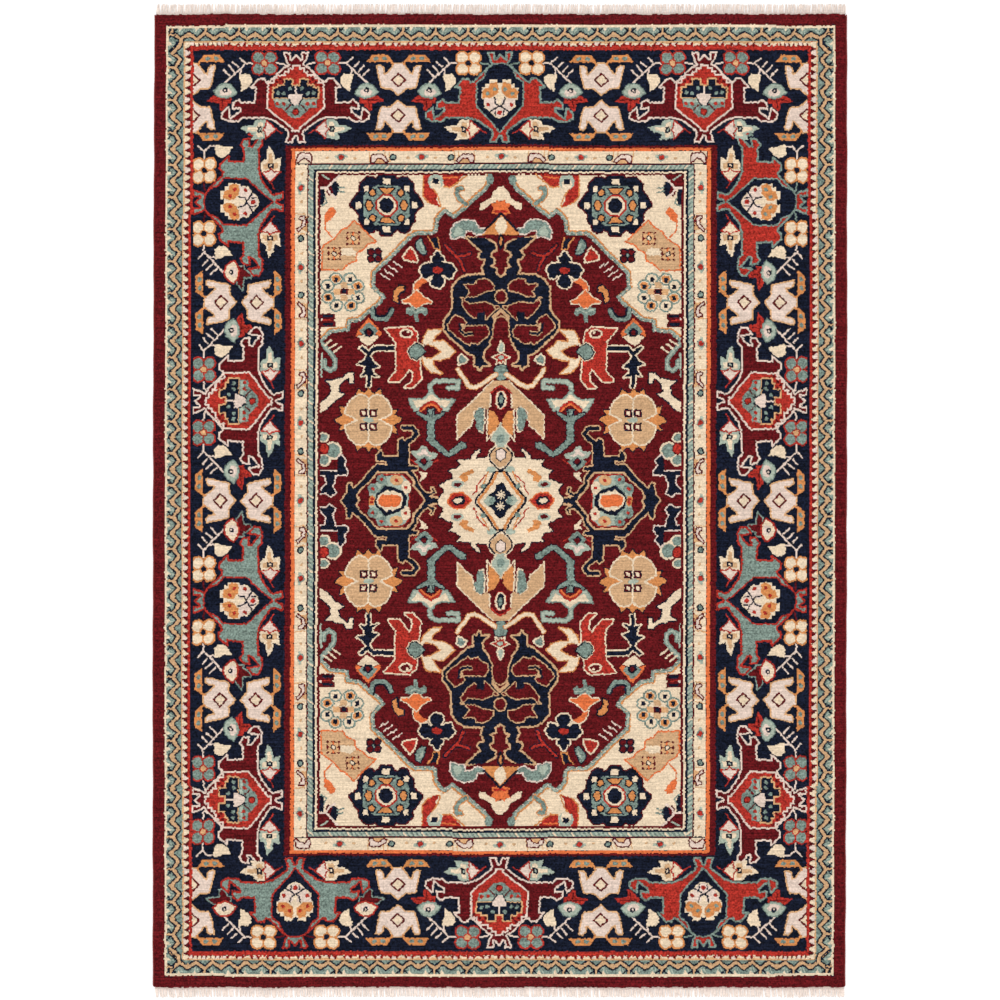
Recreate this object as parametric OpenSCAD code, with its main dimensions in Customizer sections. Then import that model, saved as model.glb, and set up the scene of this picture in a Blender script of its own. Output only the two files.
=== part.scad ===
// Area rug: a woven ground with cut pile in eleven yarn colours, corded and overcast
// side edges, and a knotted-off warp fringe at both ends. Lengths are millimetres.
// The rug lies in the XY plane with its underside at Z = 0 and its length along Y.

/* [Overall size] */
// Width over the two overcast edges
rug_w = 1600; // [1000:10:2400]
// Length of the piled area, without the fringes
pile_l = 2246; // [1500:10:3400]

/* [Cloth] */
// Thickness of the woven ground
ground_t = 2.5; // [1.5:0.1:4]
// Height of the tufts above the ground
pile_h = 7; // [4:0.5:14]

/* [Side edges] */
// Diameter of the cord inside each overcast edge
cord_d = 3; // [2:0.1:6]
// Thickness of the overcasting yarn round the cord
overcast_t = 1; // [0.5:0.1:2]

/* [Fringes] */
// Length of each fringe from the pile to the strand tips
fringe_l = 24; // [12:1:80]
// Width of the woven web between the pile and the loose strands
heading_w = 5; // [3:0.5:10]
// Thickness of the web
heading_t = 2; // [1:0.1:4]
// Distance from one strand to the next
strand_pitch = 10; // [6:0.5:20]
// Gap between neighbouring strands
strand_gap = 1; // [0.5:0.1:3]
// Thickness of a strand
strand_t = 2.2; // [1:0.1:4]
// Distance from one locking stitch to the next
stitch_pitch = 20; // [10:1:40]
// Width and height of a locking stitch
stitch_d = 1.2; // [0.6:0.1:2]

/* [Border bands, from the edge to the field] */
// Plain outer band, with the overcast edge
outer_w = 28; // [20:1:60]
// Pale line round the zigzag band
pale_line_w = 5.5; // [3:0.5:12]
// Zigzag band
zigzag_w = 36; // [20:1:60]
// Bead band
bead_w = 16.5; // [8:0.5:30]
// Red line round the main border
red_line_w = 5; // [3:0.5:12]
// Main border
main_w = 217; // [150:1:280]
// Dark red line inside the main border
dark_line_w = 6; // [3:0.5:12]
// Orange line
orange_line_w = 8; // [3:0.5:16]
// Pale guard band
guard_w = 31; // [16:1:60]
// Striped band
stripe_w = 15; // [8:0.5:30]
// Navy line
navy_line_w = 5.5; // [3:0.5:12]
// Pale line inside the navy line
inner_line_w = 6; // [3:0.5:12]
// Dark red line round the field
field_line_w = 4; // [2:0.5:10]
// Width of a band across the ends, as a share of its width along the sides
end_ratio = 0.965; // [0.85:0.005:1.1]

/* [Hidden] */
$fn = 48;

edge_d = cord_d + 2 * overcast_t;
cloth_w = rug_w - 2 * edge_d;

BANDS = [
    outer_w, pale_line_w, zigzag_w, bead_w, red_line_w, main_w, dark_line_w,
    orange_line_w, guard_w, stripe_w, navy_line_w, inner_line_w, field_line_w,
];
PALE = 1;
ZIGZAG = 2;
BEAD = 3;
RED = 4;
MAIN = 5;
DARK = 6;
ORANGE = 7;
GUARD = 8;
STRIPE = 9;
NAVY = 10;
INNER = 11;
FIELD_LINE = 12;
FIELD = 13;

// Distance from the rug's edge to the near side of band i, along the sides
function inset(i) = i == 0 ? 0 : inset(i - 1) + BANDS[i - 1];
// Half size of the rectangle that band i starts at
function half(i) = [rug_w / 2 - inset(i), pile_l / 2 - inset(i) * end_ratio];
function rect(h) = [[-h[0], -h[1]], [h[0], -h[1]], [h[0], h[1]], [-h[0], h[1]]];

// A symmetric outline from its right half, which starts and ends on the middle line
function whole(p) = concat(p, [for (i = [len(p) - 2:-1:1]) [-p[i][0], p[i][1]]]);
function moved(p, c) = [for (q = p) [q[0] + c[0], q[1] + c[1]]];
function octagon(rx, ry) = [for (a = [22.5:45:359]) [rx * cos(a) / cos(22.5), ry * sin(a) / cos(22.5)]];

module frame2d(outer, inner) {
    polygon(
        points = concat(rect(outer), rect(inner)),
        paths = [[0, 1, 2, 3], [4, 5, 6, 7]]
    );
}

module band2d(i) {
    frame2d(half(i), half(i + 1));
}

// The zigzag band is laid out as three equal strips
zigzag_third = [zigzag_w, zigzag_w * end_ratio] / 3;

module tufts() {
    translate([0, 0, ground_t]) linear_extrude(pile_h) children();
}

// ---- Main border. Motifs are drawn in their own units with up pointing outwards:
// the band is border_u units wide, and one step along it is step_u units.
border_u = 109;
step_u = 116;
SIDE_STEPS = 4;
END_STEPS = 3;
main_mid = half(MAIN) - [main_w, main_w * end_ratio] / 2;
side_unit = main_mid[1] / SIDE_STEPS / step_u;
end_unit = half(MAIN)[0] / END_STEPS / step_u;
across_unit = main_w / border_u;

HALF_LILY = [
    [0, 44], [7, 44], [8.5, 35], [13.5, 28], [17, 28], [18.5, 38], [27, 39],
    [24, 21], [21, 13], [9.5, 13], [0, 7],
];
LILY = whole(HALF_LILY);
LILY_BAR = [[12, 42], [35, 42], [29, 50], [16, 50]];
PALMETTE = whole([
    [0, 43], [8, 41], [28, 23], [40, 23], [46, 14], [46, -3], [70, -3], [78, -13],
    [70, -23], [28, -23], [12, -38], [7, -49], [0, -49],
]);
ROSETTE_R = 12.5;
ROSETTE_AT = [36.5, 40];
SHIELD = octagon(22, 20);
HEART = octagon(9, 8);
// How far a corner lily's cut runs past the edge of the band, in border units
CUT_PAST = 2;

// Puts a drawing on one of the four sides of the main border, s units along it
function on_top(p, s) =
    [for (q = p) [(q[0] + s) * end_unit, main_mid[1] + q[1] * across_unit * end_ratio]];
function on_right(p, s) = [for (q = p) [main_mid[0] + q[1] * across_unit, (q[0] + s) * side_unit]];
function turned(p) = [for (q = p) -q];
function upside(p) = [for (q = p) [q[0], -q[1]]];
function leftside(p) = [for (q = p) [-q[0], q[1]]];
// A half drawing that runs on by past units beyond its middle line
function run_on(p, past) = past == 0 ? p : concat([[-past, p[0][1]]], p, [[-past, p[len(p) - 1][1]]]);

module on_border(p, palmettes) {
    first = palmettes ? 1 : 0;
    for (k = [-2:2]) {
        if (abs(k) % 2 != first) {
            polygon(on_top(p, k * step_u));
            polygon(turned(on_top(p, k * step_u)));
        }
    }
    for (k = [-3:3]) {
        if (abs(k) % 2 == first) {
            polygon(on_right(p, k * step_u));
            polygon(turned(on_right(p, k * step_u)));
        }
    }
}

module corner_halves(p, past) {
    for (up = [-1, 1]) {
        for (side = [-1, 1]) {
            corner = on_top(run_on(p, past), -END_STEPS * step_u);
            polygon([for (q = corner) [side * q[0], up * q[1]]]);
        }
    }
}

module lilies2d(past = 0) {
    on_border(LILY, false);
    on_border(upside(LILY), false);
    corner_halves(HALF_LILY, past);
    corner_halves(upside(HALF_LILY), past);
}

module lily_bars2d() {
    for (bar = [LILY_BAR, leftside(LILY_BAR)]) {
        on_border(bar, false);
        on_border(upside(bar), false);
    }
    corner_halves(LILY_BAR, 0);
    corner_halves(upside(LILY_BAR), 0);
}

module palmettes2d(red) {
    for (side = [-1, 1]) {
        for (k = [-3, -1, 1, 3]) {
            if ((k * side == 3 || k * side == -1) == red) {
                shape = on_right(PALMETTE, k * step_u);
                polygon(side > 0 ? shape : leftside(shape));
            }
        }
    }
    for (side = [-1, 1]) {
        for (k = [-2, 0, 2]) {
            if ((k == 0) == red) {
                polygon([for (q = on_top(PALMETTE, k * step_u)) [q[0], side * q[1]]]);
            }
        }
    }
}

module shields2d() {
    on_border(SHIELD, true);
}

module hearts2d() {
    on_border(HEART, true);
}

module rosettes2d() {
    for (x = [-ROSETTE_AT[0], ROSETTE_AT[0]]) {
        on_border(moved(octagon(ROSETTE_R, ROSETTE_R), [x, ROSETTE_AT[1]]), true);
    }
}

// ---- Field. The drawing shows one quarter, field_u units wide and long, and is
// mirrored into the others.
field_u = [208, 376.5];
field_unit = [half(FIELD)[0] / field_u[0], half(FIELD)[1] / field_u[1]];
EDGE_SHIFT = 6;

SPANDREL = [
    [208, 376.5], [9, 376.5], [9, 366], [18, 354], [50, 328], [63, 336], [72, 325],
    [72, 308], [96, 307], [143, 260], [143, 243], [134, 235], [150, 218], [172, 207],
    [172, 196], [190, 196], [208, 182],
];
SPANDREL_ROSETTE = [131, 340];
CAMEL_SHIELD = [[203, 268], [182, 268], [166, 284], [148, 300], [168, 319], [203, 292]];
CLUSTER = [181, 243];
NAVY_FLOWER = [73, 266];
TULIP = [[97, 246], [110, 228], [97, 222], [84, 228]];
BIRD = [[121, 197], [98, 197], [97, 150], [92, 138], [122, 138], [121, 160]];
BLOSSOM = [152, 93];
VINE = [[104, 118], [58, 118], [72, 100], [76, 70], [84, 70], [88, 100]];
WING = [[4, 136], [50, 98], [50, 74], [30, 90], [4, 84]];
TOP_LEAF = whole([[0, 360], [6, 360], [24, 338], [6, 345], [0, 345]]);
URN = whole([
    [0, 262], [44, 262], [57, 246], [57, 216], [68, 206], [68, 196], [44, 178],
    [20, 150], [14, 150], [14, 186], [0, 200],
]);
MEDALLION = whole([
    [0, 62], [26, 58], [48, 48], [60, 30], [70, 14], [70, -14], [60, -30], [48, -48],
    [26, -58], [0, -62],
]);
DIAMOND = whole([[0, 34], [26, 0], [0, -34]]);
PALM_RING = moved(octagon(44, 34), [135, 0]);
PALM_CORE = moved(octagon(28, 24), [135, 0]);
SIDE_FLOWER = [194, 60];

module drawn(p, sx = 1, sy = 1) {
    polygon([for (q = p) [sx * q[0] * field_unit[0], sy * q[1] * field_unit[1]]]);
}

module four(p) {
    for (sx = [-1, 1]) {
        for (sy = [-1, 1]) {
            drawn(p, sx, sy);
        }
    }
}

module two_across(p) {
    drawn(p);
    drawn(p, -1, 1);
}

module two_along(p) {
    drawn(p);
    drawn(p, 1, -1);
}

function round8(c, r) = moved(octagon(r, r), c);

module crimson_ground2d() {
    difference() {
        polygon(rect(half(FIELD)));
        four(SPANDREL);
        four(round8(NAVY_FLOWER, 18));
        four(TULIP);
        four(BIRD);
        four(round8(BLOSSOM, 32));
        four(VINE);
        four(WING);
        four(round8(SIDE_FLOWER, 12));
        two_along(TOP_LEAF);
        two_along(URN);
        two_across(PALM_RING);
        drawn(MEDALLION);
    }
}

module spandrel_ground2d() {
    intersection() {
        four(SPANDREL);
        four(moved(SPANDREL, [EDGE_SHIFT, EDGE_SHIFT]));
    }
}

module ground_weave() {
    color("tan")
        translate([-cloth_w / 2, -pile_l / 2, 0])
            cube([cloth_w, pile_l, ground_t]);
}

module pile_crimson() {
    color("#5c181a") tufts() {
        frame2d([cloth_w / 2, pile_l / 2], half(PALE));
        band2d(DARK);
        band2d(FIELD_LINE);
        crimson_ground2d();
        difference() {
            palmettes2d(false);
            shields2d();
        }
        four(round8(BLOSSOM, 8));
        four(round8(SPANDREL_ROSETTE, 9));
    }
}

module pile_navy() {
    color("#131e30") tufts() {
        difference() {
            band2d(MAIN);
            lilies2d(CUT_PAST);
            lily_bars2d();
            palmettes2d(false);
            palmettes2d(true);
            rosettes2d();
        }
        band2d(NAVY);
        difference() {
            four(round8(SPANDREL_ROSETTE, 34));
            four(round8(SPANDREL_ROSETTE, 24));
        }
        difference() {
            four(round8(NAVY_FLOWER, 18));
            four(round8(NAVY_FLOWER, 5));
        }
        two_along(URN);
        difference() {
            two_across(PALM_RING);
            two_across(PALM_CORE);
        }
        drawn(DIAMOND);
    }
}

module pile_ivory() {
    color("#f1d9b9") tufts() {
        band2d(PALE);
        band2d(GUARD);
        band2d(INNER);
        difference() {
            spandrel_ground2d();
            four(round8(SPANDREL_ROSETTE, 34));
            four(CAMEL_SHIELD);
            four(round8(CLUSTER, 18));
        }
        two_along(TOP_LEAF);
        difference() {
            drawn(MEDALLION);
            drawn(DIAMOND);
        }
        hearts2d();
    }
}

module pile_teal() {
    color("#7e958d") tufts() {
        frame2d(half(ZIGZAG) - 2 * zigzag_third, half(BEAD));
        band2d(STRIPE);
        rosettes2d();
        difference() {
            four(SPANDREL);
            four(moved(SPANDREL, [EDGE_SHIFT, EDGE_SHIFT]));
        }
        difference() {
            four(round8(SPANDREL_ROSETTE, 24));
            four(round8(SPANDREL_ROSETTE, 16));
        }
        four(VINE);
    }
}

module pile_camel() {
    color("#c89d75") tufts() {
        frame2d(half(ZIGZAG) - zigzag_third, half(ZIGZAG) - 2 * zigzag_third);
        four(CAMEL_SHIELD);
        four(round8(CLUSTER, 18));
        difference() {
            four(round8(BLOSSOM, 26));
            four(round8(BLOSSOM, 8));
        }
        four(WING);
    }
}

module pile_gold() {
    color("#d58b50") tufts() {
        lily_bars2d();
        difference() {
            four(round8(BLOSSOM, 32));
            four(round8(BLOSSOM, 26));
        }
        difference() {
            four(round8(SPANDREL_ROSETTE, 16));
            four(round8(SPANDREL_ROSETTE, 9));
        }
        two_across(PALM_CORE);
    }
}

module pile_rust() {
    color("#a42921") tufts() {
        band2d(RED);
        difference() {
            palmettes2d(true);
            shields2d();
        }
        difference() {
            shields2d();
            hearts2d();
        }
        four(BIRD);
        four(round8(NAVY_FLOWER, 5));
    }
}

module pile_blush() {
    color("#dccabf") tufts() lilies2d();
}

module pile_peach() {
    color("#e6b07e") tufts() band2d(BEAD);
}

module pile_orange() {
    color("#e77541") tufts() {
        band2d(ORANGE);
        four(TULIP);
    }
}

module pile_sage() {
    color("#b9c4ae") tufts() {
        frame2d(half(ZIGZAG), half(ZIGZAG) - zigzag_third);
        four(round8(SIDE_FLOWER, 12));
    }
}

// side is -1 for the left edge and 1 for the right one
module selvedge_cord(side) {
    color("#cbb795")
        translate([side * (rug_w - edge_d) / 2, pile_l / 2, edge_d / 2])
            rotate([90, 0, 0])
                cylinder(d = cord_d, h = pile_l);
}

module overcast(side) {
    color("#7a1f22")
        translate([side * (rug_w - edge_d) / 2, pile_l / 2, edge_d / 2])
            rotate([90, 0, 0])
                linear_extrude(pile_l)
                    difference() {
                        circle(d = edge_d);
                        circle(d = cord_d);
                    }
}

// end is 1 for the top end of the rug and -1 for the bottom one
module at_end(end) {
    if (end > 0) {
        translate([0, pile_l / 2, 0]) children();
    } else {
        translate([0, -pile_l / 2, 0]) rotate([0, 0, 180]) children();
    }
}

module fringe_heading(end) {
    color("#efe6d8") at_end(end) translate([-cloth_w / 2, 0, 0]) cube([cloth_w, heading_w, heading_t]);
}

module fringe_strands(end) {
    count = floor(cloth_w / strand_pitch);
    w = strand_pitch - strand_gap;
    tip = w / 4;
    outline = [
        [-w / 2, heading_w], [w / 2, heading_w], [w / 2, fringe_l - tip],
        [w / 4, fringe_l], [-w / 4, fringe_l], [-w / 2, fringe_l - tip],
    ];
    color("#f2ebe1") at_end(end) {
        for (k = [0:count - 1]) {
            translate([(k - (count - 1) / 2) * strand_pitch, 0, 0])
                linear_extrude(strand_t)
                    polygon(outline);
        }
    }
}

module fringe_stitches(end) {
    count = floor(cloth_w / stitch_pitch);
    color("#d8cbb6") at_end(end) {
        for (k = [0:count - 1]) {
            translate([(k - (count - 1) / 2) * stitch_pitch - stitch_d / 2, 0, heading_t])
                cube([stitch_d, heading_w, stitch_d]);
        }
    }
}

ground_weave();
pile_crimson();
pile_navy();
pile_ivory();
pile_teal();
pile_camel();
pile_gold();
pile_rust();
pile_blush();
pile_peach();
pile_orange();
pile_sage();
selvedge_cord(-1);  // selvedge_cord_left
selvedge_cord(1);  // selvedge_cord_right
overcast(-1);  // overcast_left
overcast(1);  // overcast_right
fringe_heading(1);  // fringe_heading_top_end
fringe_heading(-1);  // fringe_heading_bottom_end
fringe_strands(1);  // fringe_strands_top_end
fringe_strands(-1);  // fringe_strands_bottom_end
fringe_stitches(1);  // fringe_stitches_top_end
fringe_stitches(-1);  // fringe_stitches_bottom_end
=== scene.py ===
"""Area rug: cut pile of eleven yarns on a woven cloth, with overcast sides and short cotton fringes."""
import math
import random

import bpy
import numpy as np
from bpy.props import FloatProperty, FloatVectorProperty, IntProperty
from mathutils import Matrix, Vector


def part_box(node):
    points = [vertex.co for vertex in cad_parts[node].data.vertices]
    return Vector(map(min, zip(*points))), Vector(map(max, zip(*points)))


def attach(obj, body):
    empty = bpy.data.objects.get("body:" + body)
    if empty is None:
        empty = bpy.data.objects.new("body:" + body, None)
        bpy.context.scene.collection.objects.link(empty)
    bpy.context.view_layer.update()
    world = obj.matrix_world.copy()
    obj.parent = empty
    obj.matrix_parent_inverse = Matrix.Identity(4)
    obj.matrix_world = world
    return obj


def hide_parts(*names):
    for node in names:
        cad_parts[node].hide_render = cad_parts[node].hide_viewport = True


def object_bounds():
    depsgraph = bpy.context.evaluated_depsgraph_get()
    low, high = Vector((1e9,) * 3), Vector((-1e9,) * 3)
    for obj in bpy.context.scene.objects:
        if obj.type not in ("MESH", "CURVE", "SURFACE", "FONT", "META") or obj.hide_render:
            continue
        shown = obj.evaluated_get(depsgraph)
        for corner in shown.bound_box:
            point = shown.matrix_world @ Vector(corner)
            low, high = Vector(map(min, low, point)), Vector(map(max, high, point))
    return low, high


bl_info = {
    "name": "Area Rug",
    "version": (1, 0, 0),
    "blender": (4, 5, 0),
    "location": "View3D > Sidebar > Area Rug",
    "description": "Weaves a pile rug with bordered pattern, overcast sides and cotton fringes",
    "category": "Add Mesh",
}

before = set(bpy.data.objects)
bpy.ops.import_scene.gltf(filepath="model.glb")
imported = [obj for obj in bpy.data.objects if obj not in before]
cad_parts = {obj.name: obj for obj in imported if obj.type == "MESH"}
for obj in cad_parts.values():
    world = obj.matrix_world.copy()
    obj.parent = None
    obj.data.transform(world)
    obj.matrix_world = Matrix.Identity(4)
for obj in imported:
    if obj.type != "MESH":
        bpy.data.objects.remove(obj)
CAD_BOX = [list(corner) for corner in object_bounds()]
BODY = "root"


def node_box(*names):
    """Lowest and highest corner of some nodes of the frame, as two lists in metres."""
    lows, highs = zip(*(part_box(name) for name in names))
    return [min(v) for v in zip(*lows)], [max(v) for v in zip(*highs)]


CLOTH_LOW, CLOTH_HIGH = node_box("ground_weave")
PILE_TOP = node_box("pile_crimson")[1][2]

COLS, ROWS = 800, 1123
# the yarns: crimson, navy, ivory, teal, camel (K), gold, rust, blush (B), peach, orange and sage
YARNS = ["crimson", "navy", "ivory", "teal", "camel", "gold", "rust", "blush", "peach", "orange", "sage"]
C, N, I, T, K, G, R, B, P, O, S = range(len(YARNS))
CARTOON_SEED, PILE_SEED, GROUND_SEED = 7, 11, 3
WRAP_SEED, STRAND_SEED = 17, 23


class PointPaper:
    """The weaver's cartoon, one square a knot. Each mark goes to every place in places, inside limits.

    A place (ox, oy, a, b, c, d) puts (x, y) at (ox + a x + b y, oy + c x + d y), in knots from the middle.
    """

    def __init__(self):
        rng = np.random.default_rng(CARTOON_SEED)
        self.knots = np.full((ROWS, COLS), N, np.uint8)
        self.x = np.arange(COLS) + 0.5 - COLS / 2
        self.y = np.arange(ROWS) + 0.5 - ROWS / 2
        self.row_slip = np.repeat(rng.uniform(-0.6, 0.6, ROWS // 2 + 1), 2)[:ROWS]
        self.col_slip = np.repeat(rng.uniform(-0.5, 0.5, COLS // 2), 2)
        free(self)

    def _window(self, x0, y0, x1, y1):
        """The squares in a range, and where their middles lie once the rows and columns have slipped."""
        x0, y0 = max(x0, self.limits[0]), max(y0, self.limits[1])
        x1, y1 = min(x1, self.limits[2]), min(y1, self.limits[3])
        if x0 >= x1 or y0 >= y1:
            return None
        edges = [max(a, b) for a, b in zip((x0 - 1, y0 - 1), self.limits[:2])]
        edges += [min(a, b) for a, b in zip((x1 + 1, y1 + 1), self.limits[2:])]
        j0, j1 = round(edges[0] + COLS / 2), round(edges[2] + COLS / 2)
        i0, i1 = round(edges[1] + ROWS / 2), round(edges[3] + ROWS / 2)
        if j0 >= j1 or i0 >= i1:
            return None
        x = self.x[None, j0:j1] + self.row_slip[i0:i1, None]
        y = self.y[i0:i1, None] + self.col_slip[None, j0:j1]
        return (slice(i0, i1), slice(j0, j1)), x, y

    def _placed(self, points):
        """An outline at each of the places."""
        for ox, oy, a, b, c, d in self.places:
            yield [(ox + a * x + b * y, oy + c * x + d * y) for x, y in points]

    def fill(self, yarn, points):
        """A closed outline filled with one yarn."""
        for pts in self._placed(points):
            xs = [p[0] for p in pts]
            ys = [p[1] for p in pts]
            win = self._window(min(xs), min(ys), max(xs), max(ys))
            if win is None:
                continue
            cells, x, y = win
            inside = np.zeros(x.shape, bool)
            for (xa, ya), (xb, yb) in zip(pts, pts[1:] + pts[:1]):
                if ya == yb:
                    continue
                crosses = (ya > y) != (yb > y)
                inside ^= crosses & (x < (xb - xa) * (y - ya) / (yb - ya) + xa)
            self.knots[cells][inside] = yarn

    def line(self, yarn, width, points, closed=False):
        """A stroke with round ends along some points."""
        r = width / 2
        for pts in self._placed(points):
            ends = zip(pts, pts[1:] + (pts[:1] if closed else []))
            for (xa, ya), (xb, yb) in ends:
                win = self._window(min(xa, xb) - r, min(ya, yb) - r, max(xa, xb) + r, max(ya, yb) + r)
                if win is None:
                    continue
                cells, x, y = win
                dx, dy = xb - xa, yb - ya
                t = np.clip(((x - xa) * dx + (y - ya) * dy) / max(dx * dx + dy * dy, 1e-9), 0, 1)
                near = (x - xa - t * dx) ** 2 + (y - ya - t * dy) ** 2 <= r * r
                self.knots[cells][near] = yarn

    def disc(self, yarn, cx, cy, rx, ry=None):
        """A round or oval spot."""
        ry = ry or rx
        for ox, oy, a, b, c, d in self.places:
            wx, wy = ox + a * cx + b * cy, oy + c * cx + d * cy
            ax, ay = (rx, ry) if a else (ry, rx)
            win = self._window(wx - ax, wy - ay, wx + ax, wy + ay)
            if win is None:
                continue
            cells, x, y = win
            self.knots[cells][((x - wx) / ax) ** 2 + ((y - wy) / ay) ** 2 <= 1] = yarn

    def box(self, yarn, x0, y0, x1, y1):
        """An upright rectangle."""
        self.fill(yarn, [(x0, y0), (x1, y0), (x1, y1), (x0, y1)])

    def figure(self, yarn, edge, width, points):
        """A filled outline with an edge of another yarn."""
        self.fill(yarn, points)
        self.line(edge, width, points, closed=True)

    def frame(self, yarn, ox, oy, ix, iy):
        """A band all round, between an outer and an inner half width and half length."""
        for s in (-1, 1):
            self.box(yarn, -ox, s * iy, ox, s * oy)
            self.box(yarn, s * ix, -oy, s * ox, oy)


def free(p):
    """Marks go to the whole cartoon again."""
    p.places = [(0, 0, 1, 0, 0, 1)]
    p.limits = (-COLS / 2, -ROWS / 2, COLS / 2, ROWS / 2)


def mirrored(places, sx, sy):
    """Places with their own x turned round, or their own y."""
    return [(ox, oy, a * sx, b * sy, c * sx, d * sy) for ox, oy, a, b, c, d in places]


def whole(half):
    """A symmetric outline from its right half, which starts and ends on the middle line."""
    return half + [(-x, y) for x, y in half[-2:0:-1]]


def both(p, draw):
    """Draws a half's detail on both sides of the middle line."""
    keep = p.places
    for sign in (1, -1):
        p.places = mirrored(keep, sign, 1)
        draw(p)
    p.places = keep


# ------------------------------------------------------------------ main border
ARMS = whole([
    (0, 50), (5, 44), (7, 44), (7, 52), (14, 52), (11, 43), (8, 38), (14, 35), (30, 19), (34, 18), (37, 22),
    (43, 22), (52, 12), (46, 12), (47, -5.5), (62, -5.5), (66, -2), (72, -6), (73, -13), (64, -11.5),
    (64, -15.5), (75.5, -24.5), (77.5, -11.5), (85, -18), (85, -24), (78, -27.5), (66, -27), (62, -23),
    (36, -23), (25, -26.5), (9, -38), (8, -41.5), (11, -51), (4, -51), (1.5, -44),
              (0, -43),
])
SHIELD = whole([
    (0, 37.5), (4, 37.5), (4, 34), (9, 34), (9, 30), (13, 30), (13, 26), (22, 26), (22, 22.5), (26, 22.5),
    (26, 17), (32, 17), (32, 12), (33, -12), (25, -19), (14, -27), (4, -35), (4, -38), (0, -38),
])
NAVY_PETALS = whole([
    (0, 14), (5, 14), (5, 21), (13, 21), (13, 14), (20, 14), (20, 11), (25.5, 11), (25.5, 0), (0, 0),
])
PAWN = whole([(0, 14), (1, 14), (1, 5), (8, 4), (8, 0), (6, -3), (3, -8), (0, -8)])
CUP = whole([(0, -1), (25, -1), (24, -11), (16, -12), (11, -17), (6, -22), (0, -23)])
LENS = whole([
    (0, 39), (8, 38), (14, 33), (18, 23), (26, 17), (26, -9), (16, -20), (6, -31), (0, -39),
])
BLOOM = whole([
    (0, 17), (3, 17), (3, 21), (12.5, 21), (12.5, 16), (17, 16), (17, 12), (21, 12), (21, -1), (18, -3),
    (18, -11), (12.5, -15), (5.5, -22), (0, -24),
])
GOLD_PETAL = [(3.8, 18.3), (12, 16), (13.5, 10.8), (18, 10.8), (21, 6.3), (19.5, -0.5), (9.8, -0.5),
              (2.3, 5.5), (1.5, 11.5)]


def crimson_palmette(p):
    """Shield of rust with navy petals, on dark red arms."""
    p.figure(C, B, 2.1, ARMS)
    p.figure(R, B, 2.1, SHIELD)
    p.line(P, 3.8, NAVY_PETALS, closed=True)
    p.fill(T, CUP)
    p.fill(S, [(-24, -2), (24, -2), (23, -6), (-23, -6)])
    p.fill(N, NAVY_PETALS)
    p.fill(B, PAWN)

    def side(p):
        for x, y in ((15.5, 18.5), (18.5, 22), (22.5, 18), (29, 14)):
            p.box(C, x - 1.5, y - 1.5, x + 1.5, y + 1.5)
        for x, y in ((7, 11), (20.5, 5.5), (14, 5)):
            p.disc(T, x, y, 2.2)
        for x, y in ((21, -7), (13.6, -7)):
            p.disc(R, x, y, 2.2)
        p.line(N, 1.6, [(8, -1), (3, -9), (3, -11)])
        p.line(C, 1.6, [(6, -8), (12, -14)])
    both(p, side)
    p.disc(T, 0, -16, 7)
    p.disc(C, 0, -16, 4.2)
    p.disc(R, 0, -16, 3)


def open_palmette(p, body, edge, dots):
    """Gold and ivory bloom in a navy lens."""
    p.figure(body, edge, 2.3, ARMS)
    p.line(edge, 3.6, LENS, closed=True)
    p.fill(N, LENS)
    p.fill(I, BLOOM)
    p.fill(B, whole([(0, -1), (19, -1), (16, -10), (9, -17), (0, -23)]))
    p.box(I, -2.5, -8, 2.5, 0)

    def side(p):
        p.fill(G, GOLD_PETAL)
        p.disc(dots, 6, 9.7, 2.2)
        p.disc(dots, 14.3, 4.5, 2.2)
        p.line(N, 1.7, [(6, 0), (4.5, -7), (0.5, -9.5), (11.5, -16.5)])
        p.line(N, 1.5, [(5, -15), (4.5, -20)])
        p.disc(R, 13.5, -8, 2.3)
    both(p, side)
    p.disc(R, 0, -17, 2.8)


def rosette(p, cx, cy, petal, edge, heart, heart_edge):
    """Flower of four round petals."""
    for yarn, rx, ry in ((edge, 8.2, 7.8), (petal, 6.2, 5.8)):
        for x in (-7, 7):
            for y in (-6.5, 6.5):
                p.disc(yarn, cx + x, cy + y, rx, ry)
    p.disc(heart_edge, cx, cy, 4.6)
    p.disc(heart, cx, cy, 3.2)


LEAF = [(66, 27), (65.5, 22), (63, 16), (63, 7), (55, 12), (51, 17.5), (51, 23), (55, 27.5)]
BUD = [(81, 16.5), (75, 14.5), (70, 9), (68, 5), (74, 1), (81, -1), (89, 1), (95, 6), (90, 13), (86, 15.5)]
TAIL = [(74, 2), (95, 2), (103, -4.5), (88, -6.6), (88, -14.5), (85, -15.7), (79, -9.5), (78.5, -6.6),
        (74, -6.6)]
TENT = [(22.5, -36.5), (34.5, -47.5), (35, -40), (38, -36.8), (35, -33.5), (34.3, -26)]
FLAME = [(35, -47), (51.5, -48.5), (48.5, -41), (57, -40), (64.5, -34.5), (57, -32), (49.5, -31.5),
         (47.5, -27), (43.5, -25), (35, -25.5)]
FLAME_HEART = [(38, -44.5), (44.5, -45), (45, -39.5), (56, -37.5), (56, -34), (45, -33.5), (43, -28),
               (38, -28)]


def spray(p, stem, full):
    """Leaf and twig beside a rosette, with more twigs where there is room for a bud."""
    p.line(stem, 1.9, [(22, 40), (14, 39), (10, 36)])
    p.line(B, 1.9, [(50, 40), (58, 40), (64, 34), (64, 27)])
    p.fill(I, LEAF)
    if not full:
        p.line(B, 1.9, [(58, 40), (65, 47)])
        return
    p.line(B, 1.9, [(58, 40), (65, 46)])
    p.line(B, 2.1, [(64, 34), (82, 17)])
    p.line(B, 1.9, [(67, 36), (73, 41)])
    p.line(B, 1.9, [(72, 30), (78, 37)])
    p.line(B, 1.9, [(77, 25), (84, 32)])


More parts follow.
